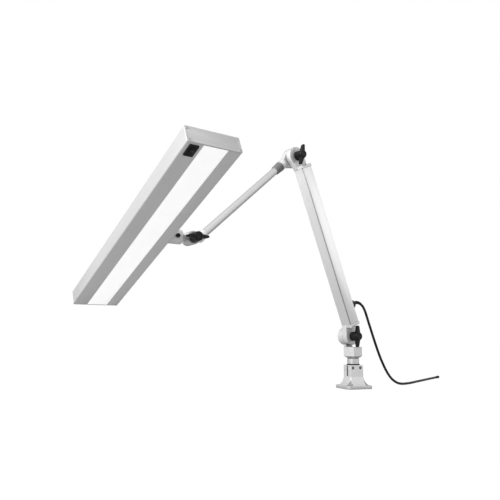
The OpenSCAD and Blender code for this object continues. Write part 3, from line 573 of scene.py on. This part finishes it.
# Swivel spigot and its ring: a turned steel pin that runs in the bush, with a polished
# neck above the foot, and a black ring that keeps dust out of the joint.
neck_r, ring_r, spigot_r, stub_r, stub_h = 15*MM, 16.5*MM, 10*MM, 7*MM, 20*MM
ring_low, ring_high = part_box("swivel_ring")[0].z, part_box("swivel_ring")[1].z
collar_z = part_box("swivel_casting")[0].z
ring = turned([(ring_low, ring_r - 0.7*MM), (ring_low + 0.6*MM, ring_r), (ring_high - 0.7*MM, ring_r),
               (ring_high, ring_r - 0.9*MM)])
cut(ring, drum(spigot_r + 0.1*MM, (0, 0, ring_low - MM), (0, 0, ring_high + MM)))
put(ring, "swivel_ring_seal")
fit(ring, "swivel_ring_seal", "swivel", ["swivel_ring"], nylon)

line_r = neck_r - 0.5*MM
neck = turned([(recess_h, spigot_r), (ring_high, spigot_r), (ring_high, neck_r - 0.4*MM),
               (ring_high + 0.5*MM, neck_r), (ring_high + 3*MM, neck_r),
               (ring_high + 3.2*MM, line_r), (ring_high + 3.9*MM, line_r), (ring_high + 4.1*MM, neck_r),
               (collar_z - 0.6*MM, neck_r), (collar_z, neck_r - 0.6*MM), (collar_z, stub_r),
               (collar_z + stub_h, stub_r)])
keeper_hole_r, keeper_hole_depth = 3.1*MM, 12*MM
cut(neck, drum(keeper_hole_r, (0, 0, 0), (0, 0, recess_h + keeper_hole_depth), 48))
put(neck, "swivel_neck", angle=30)
fit(neck, "swivel_neck", "swivel", ["swivel_spigot"], zinc_steel("neck_steel", level=205))

# Swivel casting: die-cast collar block, chamfered underneath, with a web behind it that
# carries the far lug of the shoulder hinge.
collar_w, collar_d, collar_h, collar_cut = 30*MM, 36*MM, 29*MM, 6*MM
near_lug_t, far_lug_y, lug_end_y = 15*MM, 15.5*MM, 33*MM
shoulder = hinge_at["shoulder_tilt"]
elbow = hinge_at["elbow_tilt"]
wrist = hinge_at["wrist_tilt"]
bolt_r, lug_edge, bore_gap = 5*MM, 2.5*MM, 0.1*MM
away = Vector((0, 1, 0))


def dome(radius):
    """The far lug of a hinge, about its bolt at the origin, with a rounded outer edge."""
    steps = 5
    rim = [(lug_end_y - lug_edge*(1 - math.sin(a)), radius - lug_edge*(1 - math.cos(a)))
           for a in (math.pi/2*i/steps for i in range(steps + 1))]
    lug = turned([(far_lug_y, radius - 0.5*MM), (far_lug_y + 0.5*MM, radius)] + rim)
    return put(lug, "lug", along((0, 0, 0), away))


def bore(piece, centre=(0, 0, 0)):
    """Drills a piece for the hinge bolt."""
    centre = Vector(centre)
    return cut(piece, drum(bolt_r + bore_gap, centre - 2*lug_end_y*away, centre + 2*lug_end_y*away))


collar = block((-collar_w/2 + collar_cut, -collar_d/2 + collar_cut, collar_z),
               (collar_w/2 - collar_cut, collar_d/2 - collar_cut, collar_z + MM))
choose(collar, faces=lambda c, n: n.z > 0.9)
draw_out((0, 0, collar_z + MM), [
    (collar_cut - MM, (collar_w/(collar_w - 2*collar_cut), collar_d/(collar_d - 2*collar_cut), 1)),
    (collar_h - collar_cut, 1)])
done()
shoulder_lug_r, web_t, web_reach, web_drop = 22*MM, 8.5*MM, 8.5*MM, 12*MM
collar_top = collar_z + collar_h
web_top = shoulder.z - 12*MM
combine(collar, block((shoulder.x - web_reach, far_lug_y, collar_top - web_drop),
                      (collar_w/2, far_lug_y + web_t, web_top)))
lug = dome(shoulder_lug_r)
combine(collar, put(lug, "lug", Matrix.Translation(shoulder)))
cut(collar, drum(stub_r + 0.1*MM, (0, 0, collar_z - MM), (0, 0, collar_z + stub_h + 0.2*MM)))
bore(collar, shoulder)
soften(collar, cast_grain, cast_passes)
put(collar, "swivel_collar", angle=cast_smooth)
fit(collar, "swivel_collar", "swivel", ["swivel_casting"], alloy)

# Hinge bolts: plated steel cap screws with a low domed head and a hexagon socket. Each
# goes through both lugs into the wing knob that clamps them.
bolt_head_r, bolt_head_h, thread_depth, bolt_key_r = 9*MM, 4*MM, 16.5*MM, 3.6*MM
hinges = {"shoulder": (shoulder, "swivel"), "elbow": (elbow, "upper_arm"), "wrist": (wrist, "upper_arm")}
for name, (centre, body) in hinges.items():
    bolt = turned([(-thread_depth, bolt_r - 0.8*MM), (-thread_depth + 0.8*MM, bolt_r), (lug_end_y, bolt_r),
                   (lug_end_y, bolt_head_r - 0.3*MM), (lug_end_y + 0.3*MM, bolt_head_r),
                   (lug_end_y + 1.8*MM, bolt_head_r), (lug_end_y + 3.1*MM, bolt_head_r - 0.7*MM),
                   (lug_end_y + 3.8*MM, bolt_head_r - 2*MM), (lug_end_y + bolt_head_h, bolt_head_r - 3.4*MM)])
    cut(bolt, drum(bolt_key_r, (0, 0, lug_end_y + 1.4*MM), (0, 0, lug_end_y + 2*bolt_head_h), 6))
    put(bolt, f"{name}_hinge_bolt", along(centre, away), angle=30)
    fit(bolt, f"{name}_hinge_bolt", body, [f"{name}_bolt"], steel)

# Wing knobs: one black moulding for all three hinges, with a round hub that takes the
# bolt and two tapered wings. Each is left at the angle at which it was tightened.
hub_r, nose_r, knob_len = 11.5*MM, 10.5*MM, 26*MM
wing_low, wing_high, wing_reach, wing_root, wing_tip = 12*MM, 23*MM, 27*MM, 12*MM, 5.4*MM
knob_turns = {"shoulder": 3, "elbow": 10, "wrist": 88}
knob_grain, knob_passes = 0.5*MM, 9
model = turned([(0, hub_r - 1.2*MM), (MM, hub_r), (9.5*MM, hub_r), (wing_high, nose_r),
                (knob_len - 1.4*MM, nose_r - 0.9*MM), (knob_len - 0.4*MM, nose_r - 1.8*MM),
                (knob_len, nose_r - 2.6*MM)])
for side in (1, -1):
    wing = block((-wing_root/2, -hub_r/4, wing_low), (wing_root/2, hub_r/4, wing_high))
    choose(wing, faces=lambda c, n: n.y*side > 0.9)
    middle = (wing_low + wing_high)/2
    draw_out((0, side*hub_r/4, middle), [
        (wing_reach - hub_r/4 - 3*MM, (wing_tip/wing_root, 1, 0.86)), (1.8*MM, (0.82, 1, 0.95)),
        (1.2*MM, (0.45, 1, 0.8))], way=(0, side, 0))
    done()
    combine(model, wing)
cut(model, drum(bolt_r + bore_gap, (0, 0, -MM), (0, 0, thread_depth + 0.5*MM)))
dish_r, dish_depth = 6*MM, 0.9*MM
cut(model, drum(dish_r, (0, 0, knob_len - dish_depth), (0, 0, knob_len + MM)))
soften(model, knob_grain, knob_passes)
for name, turn in knob_turns.items():
    knob = model.copy()
    knob.data = model.data.copy()
    bpy.context.scene.collection.objects.link(knob)
    up = Vector((math.sin(math.radians(turn)), 0, math.cos(math.radians(turn))))
    turned_to = Matrix((up.cross(-away), up, -away)).transposed().to_4x4()
    put(knob, f"{name}_wing_knob", Matrix.Translation(hinges[name][0]) @ turned_to, angle=cast_smooth)
    fit(knob, f"{name}_wing_knob", f"{name}_knob", [f"{name}_knob"], nylon)
bpy.data.objects.remove(model)

# End castings of the lower arm: a plug in the profile, a block hollowed round the knob's
# wings, and the near lug of the hinge. The same shape, mirrored, closes both ends.
lean, dip = math.radians(-21.45), math.radians(-41.75)
lower_frame = Matrix.Translation(shoulder) @ Matrix.Rotation(lean, 4, "Y")
upper_frame = Matrix.Translation(elbow) @ Matrix.Rotation(dip, 4, "Y")
lower_arm_len, upper_arm_len = (elbow - shoulder).length, 374.8*MM
profile_w, profile_d, profile_x = 32*MM, 34*MM, 5.5*MM
setback, cheek_h, plug_len, profile_wall = 34*MM, 8*MM, 26*MM, 2.6*MM
sweep_r = 27.8*MM


def wrap(*parts):
    """One piece round several: what a taut skin round them would enclose."""
    pick(*parts)
    bpy.ops.object.join()
    bpy.ops.object.mode_set(mode="EDIT")
    bpy.ops.mesh.select_all(action="SELECT")
    bpy.ops.mesh.convex_hull()
    done()
    return parts[0]


def end_casting(lug_r, upside_down):
    """An end casting about its hinge at the origin, for the arm's foot or, mirrored, its head."""
    cheek = block((profile_x - profile_w/2, -profile_d/2, setback - cheek_h),
                  (profile_x + profile_w/2, profile_d/2, setback))
    plug_gap = 0.6*MM
    plug_w, plug_d = profile_w - 2*profile_wall - plug_gap, profile_d - 2*profile_wall - plug_gap
    combine(cheek, block((profile_x - plug_w/2, -plug_d/2, setback - 2*MM),
                         (profile_x + plug_w/2, plug_d/2, setback + plug_len)))
    cut(cheek, drum(sweep_r, -2*lug_end_y*away, 2*lug_end_y*away, 128))
    root = block((profile_x - profile_w/2, 0, setback - 2*MM), (profile_x + profile_w/2, near_lug_t, setback))
    link = wrap(drum(lug_r, (0, 0, 0), near_lug_t*away), root)
    bore(combine(cheek, link))
    soften(cheek, cast_grain, cast_passes)
    if upside_down:
        pick(cheek)
        bpy.ops.transform.mirror(constraint_axis=(False, False, True), center_override=(0, 0, 0))
        cheek.location.z = 0
        bpy.ops.object.transform_apply(location=True, rotation=True, scale=True)
        choose(cheek, faces=lambda c, n: True)
        bpy.ops.mesh.normals_make_consistent(inside=False)
        done()
    return cheek


elbow_lug_r = 24*MM
casting = put(end_casting(shoulder_lug_r, False), "shoulder_end_casting", lower_frame, angle=cast_smooth)
fit(casting, "shoulder_end_casting", "lower_arm", ["arm_foot_casting"], alloy)
arm_end = lower_frame @ Matrix.Translation((0, 0, lower_arm_len))
casting = put(end_casting(elbow_lug_r, True), "elbow_end_casting", arm_end, angle=cast_smooth)
fit(casting, "elbow_end_casting", "lower_arm", ["arm_head_casting"], alloy)

# Arm profile: a length of square aluminium extrusion, grooved along its four corners and
# sunk a little on two faces, clear anodised. It is cut square at both ends, and countersunk
# on its back for the screws that hold the end castings.


def anodised(name, angle, level=232, streak_scale=(1, 1, 0.03), satin=0.28, edge=0, groove_shade=None):
    """Clear anodised aluminium: die lines along the length, painted shade along its outlines where edge is
    given, and painted shade in its grooves if it has any.
    """
    material, w = new_finish(name)
    aligned = w.node("Mapping", sockets={"Vector": w.place(), "Rotation": (0, -angle, 0)})
    streaks = w.noise(w.node("Mapping", sockets={"Vector": aligned, "Scale": streak_scale}), 420, 3.0)
    cloud = w.noise(aligned, 14)
    skin = w.tint(0.3*streaks + 0.7*cloud, grey(level - 7), grey(level + 7))
    # Painted shade: darker along the outlines, by the share that edge gives.
    if edge:
        skin = w.tint(edge*w.slant(), skin, grey(level - 110))
    # Painted shade: the grooves that the mask gives are greyer.
    if groove_shade:
        skin = w.tint(groove_shade(w), skin, grey(level - 70))
    w.shade(streaks, 0.004*MM, Base_Color=skin, Roughness=satin + 0.1*streaks, Metallic=0.6)
    return material


cove_r, recess_w, recess_t = 2.2*MM, 21*MM, 0.5*MM


def cove_shade_mask(w):
    """1 in the grooves along the profile's corners, where the arm's finish paints shade."""
    turn = lower_frame.inverted()
    shift = turn.translation - Vector((profile_x, 0, 0))
    on_arm = w.node("Mapping", sockets={"Vector": w.place(), "Rotation": turn.to_euler(), "Location": shift})
    across = w.node("SeparateXYZ", sockets={"Vector": on_arm})
    deep = across.output(1)
    return (abs(across) > profile_w/2 - cove_r)*(abs(deep) > profile_d/2 - cove_r)


profile_low, profile_high = setback, lower_arm_len - setback
x0, x1, y0, y1 = profile_x - profile_w/2, profile_x + profile_w/2, -profile_d/2, profile_d/2
profile = block((x0, y0, profile_low), (x1, y1, profile_high))
for x, y in ((x0, y0), (x0, y1), (x1, y0), (x1, y1)):
    cut(profile, drum(cove_r, (x, y, 0), (x, y, lower_arm_len), 40))
cut(profile, block((x0 + profile_wall, y0 + profile_wall, 0),
                   (x1 - profile_wall, y1 - profile_wall, lower_arm_len)))
for x in (x0, x1):
    cut(profile, block((x - recess_t, -recess_w/2, 0), (x + recess_t, recess_w/2, lower_arm_len)))
screw_sink_r, screw_sink, screw_shares = 4.1*MM, 1.5*MM, (0.35, 0.75)
end_screws = [profile_low + share*plug_len for share in screw_shares]
end_screws += [profile_high - share*plug_len for share in screw_shares]
for z in end_screws:
    cut(profile, drum(screw_sink_r, (x1 - screw_sink, 0, z), (x1 + MM, 0, z), 48))
gland_z, gland_thread_r = 76*MM, 6*MM
cut(profile, drum(gland_thread_r + 0.1*MM, (x1 - 4*MM, 0, gland_z), (x1 + MM, 0, gland_z), 48))
round_edges(profile, 0.35*MM, 2, 40)
put(profile, "grooved_arm_profile", lower_frame, angle=30)
# The arm's finish paints shade into the corner grooves.
fit(profile, "grooved_arm_profile", "lower_arm", ["arm_profile"],
    anodised("anodised_arm", lean, groove_shade=cove_shade_mask))

# Cable gland: black nylon. A hexagon that is screwed through the profile's wall and a
# domed nut with grip ribs that squeezes the strain relief.
gland_frame = lower_frame @ Matrix.Translation((x1, 0, gland_z)) @ Matrix.Rotation(math.pi/2, 4, "Y")
hex_r, hex_h, nut_r, nut_h, mouth_r = 12*MM, 6*MM, 11*MM, 9*MM, 6*MM
gland = drum(hex_r, (0, 0, 0), (0, 0, hex_h), 6)
round_edges(gland, 0.9*MM, 3)
thread_len, cable_hole_r = 8*MM, 3.4*MM
combine(gland, drum(gland_thread_r, (0, 0, -thread_len), (0, 0, MM), 64))
cut(gland, drum(cable_hole_r, (0, 0, -2*thread_len), (0, 0, 2*hex_h), 48))
put(gland, "gland_hexagon", gland_frame)
fit(gland, "gland_hexagon", "lower_arm", ["gland_body"], nylon)

nut = turned([(hex_h, nut_r - 0.4*MM), (hex_h + 0.5*MM, nut_r), (hex_h + 4.4*MM, nut_r),
              (hex_h + 6.2*MM, nut_r - 0.8*MM), (hex_h + 7.8*MM, nut_r - 2.2*MM),
              (hex_h + 8.7*MM, mouth_r + 0.9*MM), (hex_h + nut_h, mouth_r - 0.2*MM)])
grips, grip_r = 12, 0.9*MM
for i in range(grips):
    turn = 2*math.pi*i/grips
    out = Vector((math.cos(turn), math.sin(turn), 0))*(nut_r + 0.5*MM)
    cut(nut, drum(grip_r, out + Vector((0, 0, hex_h - MM)), out + Vector((0, 0, hex_h + 4*MM)), 16))
cut(nut, drum(cable_hole_r, (0, 0, 0), (0, 0, hex_h + 2*nut_h), 48))
round_edges(nut, 0.25*MM, 2)
put(nut, "gland_dome_nut", gland_frame)
fit(nut, "gland_dome_nut", "lower_arm", ["gland_nut"], nylon)

# Elbow knuckle: a teardrop casting with the elbow's far lug, and a round neck that the
# tube is bonded into. Its near side is cut back below, so that the arm can fold past it.
tube_y, tube_z, tube_r, tube_gap = 24.25*MM, 4*MM, 9*MM, 0.1*MM
knuckle_len, neck_len, neck_round_r, neck_half = 44*MM, 13*MM, 12*MM, 8.75*MM
knuckle = dome(elbow_lug_r)
tail_x, inner_y = neck_half - knuckle_len, lug_end_y - lug_edge
combine(knuckle, wrap(
    drum(elbow_lug_r - 0.4*MM, far_lug_y*away, inner_y*away),
    drum(neck_half, (tail_x, far_lug_y, tube_z), (tail_x, inner_y, tube_z))))
neck_x = neck_len - knuckle_len
combine(knuckle, drum(neck_round_r, (-knuckle_len, tube_y, tube_z), (neck_x, tube_y, tube_z)))
cut(knuckle, drum(tube_r + tube_gap, (-knuckle_len - MM, tube_y, tube_z), (neck_x + 0.2*MM, tube_y, tube_z)))
clear_y, clear_r = profile_d/2 + 0.4*MM, 27*MM
shave = block((-knuckle_len - MM, -MM, -elbow_lug_r), (0, clear_y, tube_z - tube_r - 0.8*MM))
cut(knuckle, cut(shave, drum(clear_r, -2*MM*away, (clear_y + MM)*away)))
bore(knuckle)
soften(knuckle, cast_grain, cast_passes)
put(knuckle, "elbow_teardrop_knuckle", upper_frame, angle=cast_smooth)
fit(knuckle, "elbow_teardrop_knuckle", "upper_arm", ["elbow_knuckle"], alloy)

# Ferrule and tube: a dark grey moulded sleeve over the joint, and a drawn aluminium tube,
# anodised like the arm.
ferrule_len, ferrule_r, ferrule_tip_r = 23.5*MM, 12.5*MM, 11*MM
down_tube = Vector((-1, 0, 0))
band_r = ferrule_r - 0.5*MM
ferrule = turned([(0, ferrule_r - MM), (MM, ferrule_r), (3*MM, ferrule_r - 0.1*MM),
                  (3.2*MM, band_r), (3.8*MM, band_r), (4*MM, ferrule_r - 0.2*MM),
                  (ferrule_len - 1.4*MM, ferrule_tip_r + 0.1*MM), (ferrule_len, ferrule_tip_r - MM)])
cut(ferrule, drum(tube_r + tube_gap, (0, 0, -MM), (0, 0, ferrule_len + MM)))
put(ferrule, "dark_tube_ferrule", upper_frame @ along((-knuckle_len, tube_y, tube_z), down_tube), angle=30)
fit(ferrule, "dark_tube_ferrule", "upper_arm", ["tube_ferrule"],
    black_plastic("dark_ferrule", level=126))

wrist_socket_len, socket_depth, socket_root = 40*MM, 16*MM, 4*MM
tube_start, tube_end = knuckle_len - neck_len, upper_arm_len - wrist_socket_len + socket_depth
tube_len, tube_wall, tube_edge = tube_end - tube_start, 1.5*MM, 0.3*MM
tube = turned([(0, tube_r - tube_edge), (tube_edge, tube_r), (tube_len - tube_edge, tube_r),
               (tube_len, tube_r - tube_edge)])
cut(tube, drum(tube_r - tube_wall, (0, 0, -MM), (0, 0, tube_len + MM)))
put(tube, "drawn_upper_tube", upper_frame @ along((-tube_start, tube_y, tube_z), down_tube), angle=30)
# The tube's finish paints shade along its outlines.
fit(tube, "drawn_upper_tube", "upper_arm", ["upper_tube"],
    anodised("anodised_tube", dip, level=222, streak_scale=(0.03, 1, 1), satin=0.42, edge=0.8))

# Wrist lug: a small casting on the tube's other end with the far lug of the wrist hinge.
wrist_lug_r, sleeve_r, wrist_rise, small_grain = 15*MM, 11.5*MM, 17.7*MM, 0.5*MM
sleeve_x = wrist_socket_len - upper_arm_len
wrist_lug = dome(wrist_lug_r)
put(wrist_lug, "lug", Matrix.Translation((-upper_arm_len, 0, wrist_rise)))
mouth = sleeve_x - socket_depth
combine(wrist_lug, wrap(
    drum(wrist_lug_r - MM, (-upper_arm_len, far_lug_y, wrist_rise), (-upper_arm_len, inner_y, wrist_rise)),
    drum(sleeve_r - MM, (mouth, far_lug_y, tube_z), (mouth, inner_y, tube_z))))
combine(wrist_lug, drum(sleeve_r, (sleeve_x, tube_y, tube_z), (mouth - socket_root, tube_y, tube_z)))
cut(wrist_lug, drum(tube_r + tube_gap, (sleeve_x + MM, tube_y, tube_z), (mouth - 0.2*MM, tube_y, tube_z)))
bore(wrist_lug, (-upper_arm_len, 0, wrist_rise))
soften(wrist_lug, small_grain, cast_passes)
put(wrist_lug, "wrist_lug_casting", upper_frame, angle=cast_smooth)
fit(wrist_lug, "wrist_lug_casting", "upper_arm", ["wrist_lug"], alloy)

# Wrist link: one casting of the near lug, a flat neck and the round boss in which the
# head's pin turns. A black cap screw under the boss clamps the pin.
boss_gap, boss_len, boss_r = 29*MM, 30*MM, 15.5*MM
roll_y, roll_drop, link_h = 5.2*MM, 1.9*MM, 12*MM
link = drum(wrist_lug_r, wrist, wrist + near_lug_t*away)
combine(link, block(wrist + Vector((-boss_gap - 2*MM, 0, -roll_drop - link_h/2)),
                    wrist + Vector((0, near_lug_t, link_h/2 - roll_drop))))
boss_axis = wrist + Vector((-boss_gap, roll_y, -roll_drop))
boss = turned([(0, boss_r - 2*MM), (0.5*MM, boss_r - 0.6*MM), (1.6*MM, boss_r), (boss_len - 1.2*MM, boss_r),
               (boss_len, boss_r - 1.2*MM)])
combine(link, put(boss, "boss", along(boss_axis, down_tube)))
pin_bore_r, boss_floor, clamp_hole_r = 8.1*MM, 3*MM, 3.1*MM
cut(link, drum(pin_bore_r, boss_axis + boss_floor*down_tube, boss_axis + 2*boss_len*down_tube))
cap_at = boss_axis + Vector((-boss_len/2, -boss_r, 0))
cut(link, drum(clamp_hole_r, cap_at - 2*MM*away, cap_at + 8*MM*away, 48))
bore(link, wrist)
soften(link, small_grain, cast_passes)
put(link, "wrist_link_casting", angle=cast_smooth)
fit(link, "wrist_link_casting", "wrist_link", ["wrist_link"], alloy)

cap_r, cap_h = 4.5*MM, 5*MM
cap = turned([(0.6*MM, cap_r - 0.3*MM), (MM, cap_r), (cap_h - 0.8*MM, cap_r), (cap_h, cap_r - 0.7*MM)])
flutes, flute_r, cap_key_r, cap_key_depth, cap_shank_r, cap_shank = 18, 0.4*MM, 2.2*MM, 2.4*MM, 3*MM, 7*MM
for i in range(flutes):
    turn = 2*math.pi*i/flutes
    out = Vector((math.cos(turn), math.sin(turn), 0))*(cap_r + 0.15*MM)
    cut(cap, drum(flute_r, out, out + Vector((0, 0, cap_h - MM)), 12))
cut(cap, drum(cap_key_r, (0, 0, cap_h - cap_key_depth), (0, 0, cap_h + MM), 6))
combine(cap, drum(cap_shank_r, (0, 0, -cap_shank), (0, 0, 2*MM), 48))
put(cap, "boss_cap_screw", along(cap_at, -away), angle=30)
fit(cap, "boss_cap_screw", "wrist_link", ["boss_screw"], nylon)

# Head housing: a flat box extrusion, open at its ends and along its light face, with a
# window for the switch and a hole for the pin. Clear anodised, and capped at both ends.
head_w, head_t, head_len, head_wall, cap_t = 108*MM, 34*MM, 600*MM, 2*MM, 2.5*MM
head_low, head_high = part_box("head_housing")
head_frame = Matrix.Translation((head_low + head_high)/2) @ Matrix.Rotation(math.radians(-23.3), 4, "X")
strip_w, strip_x, corner_r = 48*MM, 2.5*MM, 2.5*MM
half_len = head_len/2 - cap_t


def rounded_bar(half, reach, radius):
    """A flat bar along Y about the head's centre, with its four long edges rounded."""
    start, end = reach
    bar = block((-half.x, start, -half.z), (half.x, end, half.z))
    choose(bar, edges=lambda a, b: abs(a.y - b.y) > (end - start)/2)
    bpy.ops.mesh.bevel(offset=radius, segments=5, affect="EDGES")
    done()
    return bar


half_head = Vector((head_w/2, 0, head_t/2))
housing = rounded_bar(half_head, (-half_len, half_len), corner_r)
cut(housing, block((head_wall - head_w/2, -head_len, head_wall - head_t/2),
                   (head_w/2 - head_wall, head_len, head_t/2 - head_wall)))
cut(housing, block((strip_x - strip_w/2, -head_len, -head_t), (strip_x + strip_w/2, head_len, 0)))
bezel_w, bezel_len, bezel_side, bezel_inset, bezel_h = 18*MM, 28*MM, 8*MM, 6*MM, 2*MM
switch_x, switch_y = bezel_w/2 + bezel_side - head_w/2, bezel_len/2 + bezel_inset - head_len/2
hole_w, hole_len = 12.4*MM, 22.4*MM
cut(housing, block((switch_x - hole_w/2, switch_y - hole_len/2, -head_t),
                   (switch_x + hole_w/2, switch_y + hole_len/2, -head_t/4)))
cut(housing, drum(pin_bore_r, (head_w/2 - 2*head_wall, 0, 0), (head_w/2 + 2*head_wall, 0, 0)))
round_edges(housing, 0.25*MM, 2, 50)
put(housing, "flat_head_housing", head_frame, angle=30)
fit(housing, "flat_head_housing", "head", ["head_housing"],
    anodised("anodised_head", 0, level=206, streak_scale=(1, 0.03, 1)))

# End caps: plates of grey coated metal, each held by four small pan-head screws with a
# cross recess that go into ports in the housing's corners.


def grey_coat():
    """Grey powder coat on the end caps: an even fine orange peel, and painted shade darkening their outer
    edges.
    """
    material, w = new_finish("end_cap")
    peel = w.noise(w.place(), 1300, 2.0)
    skin = w.tint(w.noise(w.place(), 40), grey(212), grey(221))
    # Painted shade: the outer edges of the plates are darker.
    skin = w.tint(w.rim(0.54, 0.64), skin, grey(178))
    w.shade(peel, 0.06*MM, Base_Color=skin, Roughness=0.45 + 0.12*peel)
    return material


cap_grey = grey_coat()
port_in, cross_len, cross_w, cross_floor = 4.5*MM, 3*MM, 0.6*MM, 0.45*MM
ports = [(x*(head_w/2 - port_in), z*(head_t/2 - port_in)) for x in (-1, 1) for z in (-1, 1)]
screw_r, screw_h, shank_r, shank_len = 2.5*MM, 1.2*MM, 1.2*MM, 12*MM
screws = []
for name, side in (("near", -1), ("far", 1)):
    reach = sorted((side*half_len, side*head_len/2))
    plate = rounded_bar(half_head, reach, corner_r)
    for x, z in ports:
        cut(plate, drum(shank_r + 0.2*MM, (x, reach[0] - MM, z), (x, reach[1] + MM, z), 32))
    round_edges(plate, 0.5*MM, 3, 50)
    put(plate, f"{name}_end_plate", head_frame, angle=30)
    fit(plate, f"{name}_end_plate", "head", [f"end_cap_{name}"], cap_grey)
    for x, z in ports:
        screw = turned([(-cap_t - shank_len, shank_r), (0, shank_r), (0, screw_r), (0.5*MM, screw_r),
                        (0.95*MM, screw_r - 0.5*MM), (screw_h, screw_r - 1.3*MM)], 48)
        for slot_turn in (0, math.pi/2):
            blade = block((-cross_len/2, -cross_w/2, cross_floor), (cross_len/2, cross_w/2, 2*screw_h))
            cut(screw, put(blade, "blade", Matrix.Rotation(slot_turn, 4, "Z")))
        screws.append(put(screw, "screw", along((x, side*head_len/2, z), side*away), angle=30))
screw = combine(screws[0], *screws[1:])
put(screw, "end_plate_screws", head_frame, angle=30)
fit(screw, "end_plate_screws", "head", ["cap_screws"], zinc_steel("screw_steel", level=190))

# Diffuser: an opal acrylic strip that slides in behind the lips. Behind it are the white
# reflector tray, the light board with its chips, and the driver at the near end.


def opal_acrylic():
    """Opal acrylic with a painted glow that keeps its face white, and the soft grain of the extruded sheet.
    """
    material, w = new_finish("opal")
    point = w.place()
    haze = w.noise(point, 25)
    # Painted glow: the emission keeps the strip white though it faces down, away from the lights.
    w.shade(w.noise(point, 1200, 2.0), 0.02*MM, Base_Color=w.tint(haze, grey(243), grey(250)),
            Emission_Color=w.tint(haze, grey(235), grey(245)), Emission_Strength=0.66,
            Roughness=0.28 + 0.1*haze)
    material.cycles.emission_sampling = "NONE"
    return material


def enamel(name, level, warm=0.0):
    """A coat of enamel, or a moulded surface, with slight orange peel."""
    material, w = new_finish(name)
    peel = w.noise(w.place(), 800)
    low, high = grey(level - 6), grey(level + 4)
    low, high = (tuple((c[0], c[1], c[2]*(1 - warm), 1)) for c in (low, high))
    w.shade(peel, 0.03*MM, Base_Color=w.tint(peel, low, high), Roughness=0.4 + 0.15*peel)
    return material


face_z, lip, lip_gap, sheet_t = head_wall - head_t/2, 2.5*MM, 0.2*MM, 1.6*MM
diffuser = block((strip_x - strip_w/2 - lip, -half_len, face_z),
                 (strip_x + strip_w/2 + lip, half_len, face_z + sheet_t))
choose(diffuser, faces=lambda c, n: n.z < -0.9)
bpy.ops.mesh.inset(thickness=lip + lip_gap)
bpy.ops.transform.resize(value=(1, half_len/(half_len - lip - lip_gap), 1), center_override=(strip_x, 0, 0))
bpy.ops.mesh.extrude_region_move(TRANSFORM_OT_translate={"value": (0, 0, -sheet_t)})
done()
round_edges(diffuser, 0.25*MM, 2, 50)
put(diffuser, "opal_light_strip", head_frame, angle=30)
fit(diffuser, "opal_light_strip", "head", ["diffuser"], opal_acrylic())
dress(enamel("white_tray", 236), "reflector_tray", "driver_box")
dress(enamel("board", 238), "light_board")
dress(enamel("chips", 222, warm=0.55), "light_chips")

# Switch: a black rocker in a snap-in bezel at the near end of the light face, with a
# plain bar and a plain ring moulded into its two halves.
switch_frame = head_frame @ Matrix.Translation((switch_x, switch_y, -head_t/2))
window_w, window_len = 9*MM, 19*MM
bezel = block((-bezel_w/2, -bezel_len/2, -bezel_h), (bezel_w/2, bezel_len/2, 0))
choose(bezel, edges=lambda a, b: abs(a.z - b.z) > bezel_h/2)
bpy.ops.mesh.bevel(offset=2*MM, segments=5, affect="EDGES")
done()
body_w, body_len, body_h, well_h = 12*MM, 22*MM, 20*MM, 12.1*MM
combine(bezel, block((-body_w/2, -body_len/2, -bezel_h/4), (body_w/2, body_len/2, body_h)))
cut(bezel, block((-window_w/2, -window_len/2, -2*bezel_h), (window_w/2, window_len/2, well_h)))
round_edges(bezel, 0.35*MM, 3, 50)
put(bezel, "switch_frame_bezel", switch_frame)
fit(bezel, "switch_frame_bezel", "head", ["switch_bezel"], nylon)

rocker_r, rocker_z, rocker_w = window_len/2 - 0.4*MM, 3.185*MM, window_w - 0.8*MM
rocker = drum(rocker_r, (-rocker_w/2, 0, 0), (rocker_w/2, 0, 0))
dip_z, face_slope, back_z, wide = -6.2*MM, math.radians(7), 3*MM, 30*MM
cut(rocker, block((-wide, -wide, back_z), (wide, wide, wide)))
for side in (1, -1):
    waste = block((-wide, min(0, side*wide), -wide), (wide, max(0, side*wide), dip_z))
    hinged = Matrix.Translation((0, 0, dip_z)) @ Matrix.Rotation(-side*face_slope, 4, "X")
    cut(rocker, put(waste, "waste", hinged @ Matrix.Translation((0, 0, -dip_z))))
mark_y, mark_z, mark_len, mark_w, ring_mark_r = 4.6*MM, dip_z - 0.6*MM, 3.4*MM, 0.8*MM, 1.5*MM
combine(rocker, block((-mark_w/2, -mark_y - mark_len/2, mark_z - 0.35*MM),
                      (mark_w/2, mark_len/2 - mark_y, mark_z + 0.5*MM)))
combine(rocker, begin("torus", location=(0, mark_y, mark_z), major_radius=ring_mark_r,
                      minor_radius=mark_w/2, major_segments=40, minor_segments=10))
axle_r, axle_end = 1.5*MM, window_w/2 + 1.2*MM
combine(rocker, drum(axle_r, (-axle_end, 0, 0), (axle_end, 0, 0), 32))
round_edges(rocker, 0.3*MM, 2, 40)
pressed = Matrix.Translation((0, 0, rocker_z)) @ Matrix.Rotation(math.radians(6), 4, "X")
put(rocker, "switch_rocker_key", switch_frame @ pressed)
fit(rocker, "switch_rocker_key", "rocker", ["switch_rocker"], nylon)
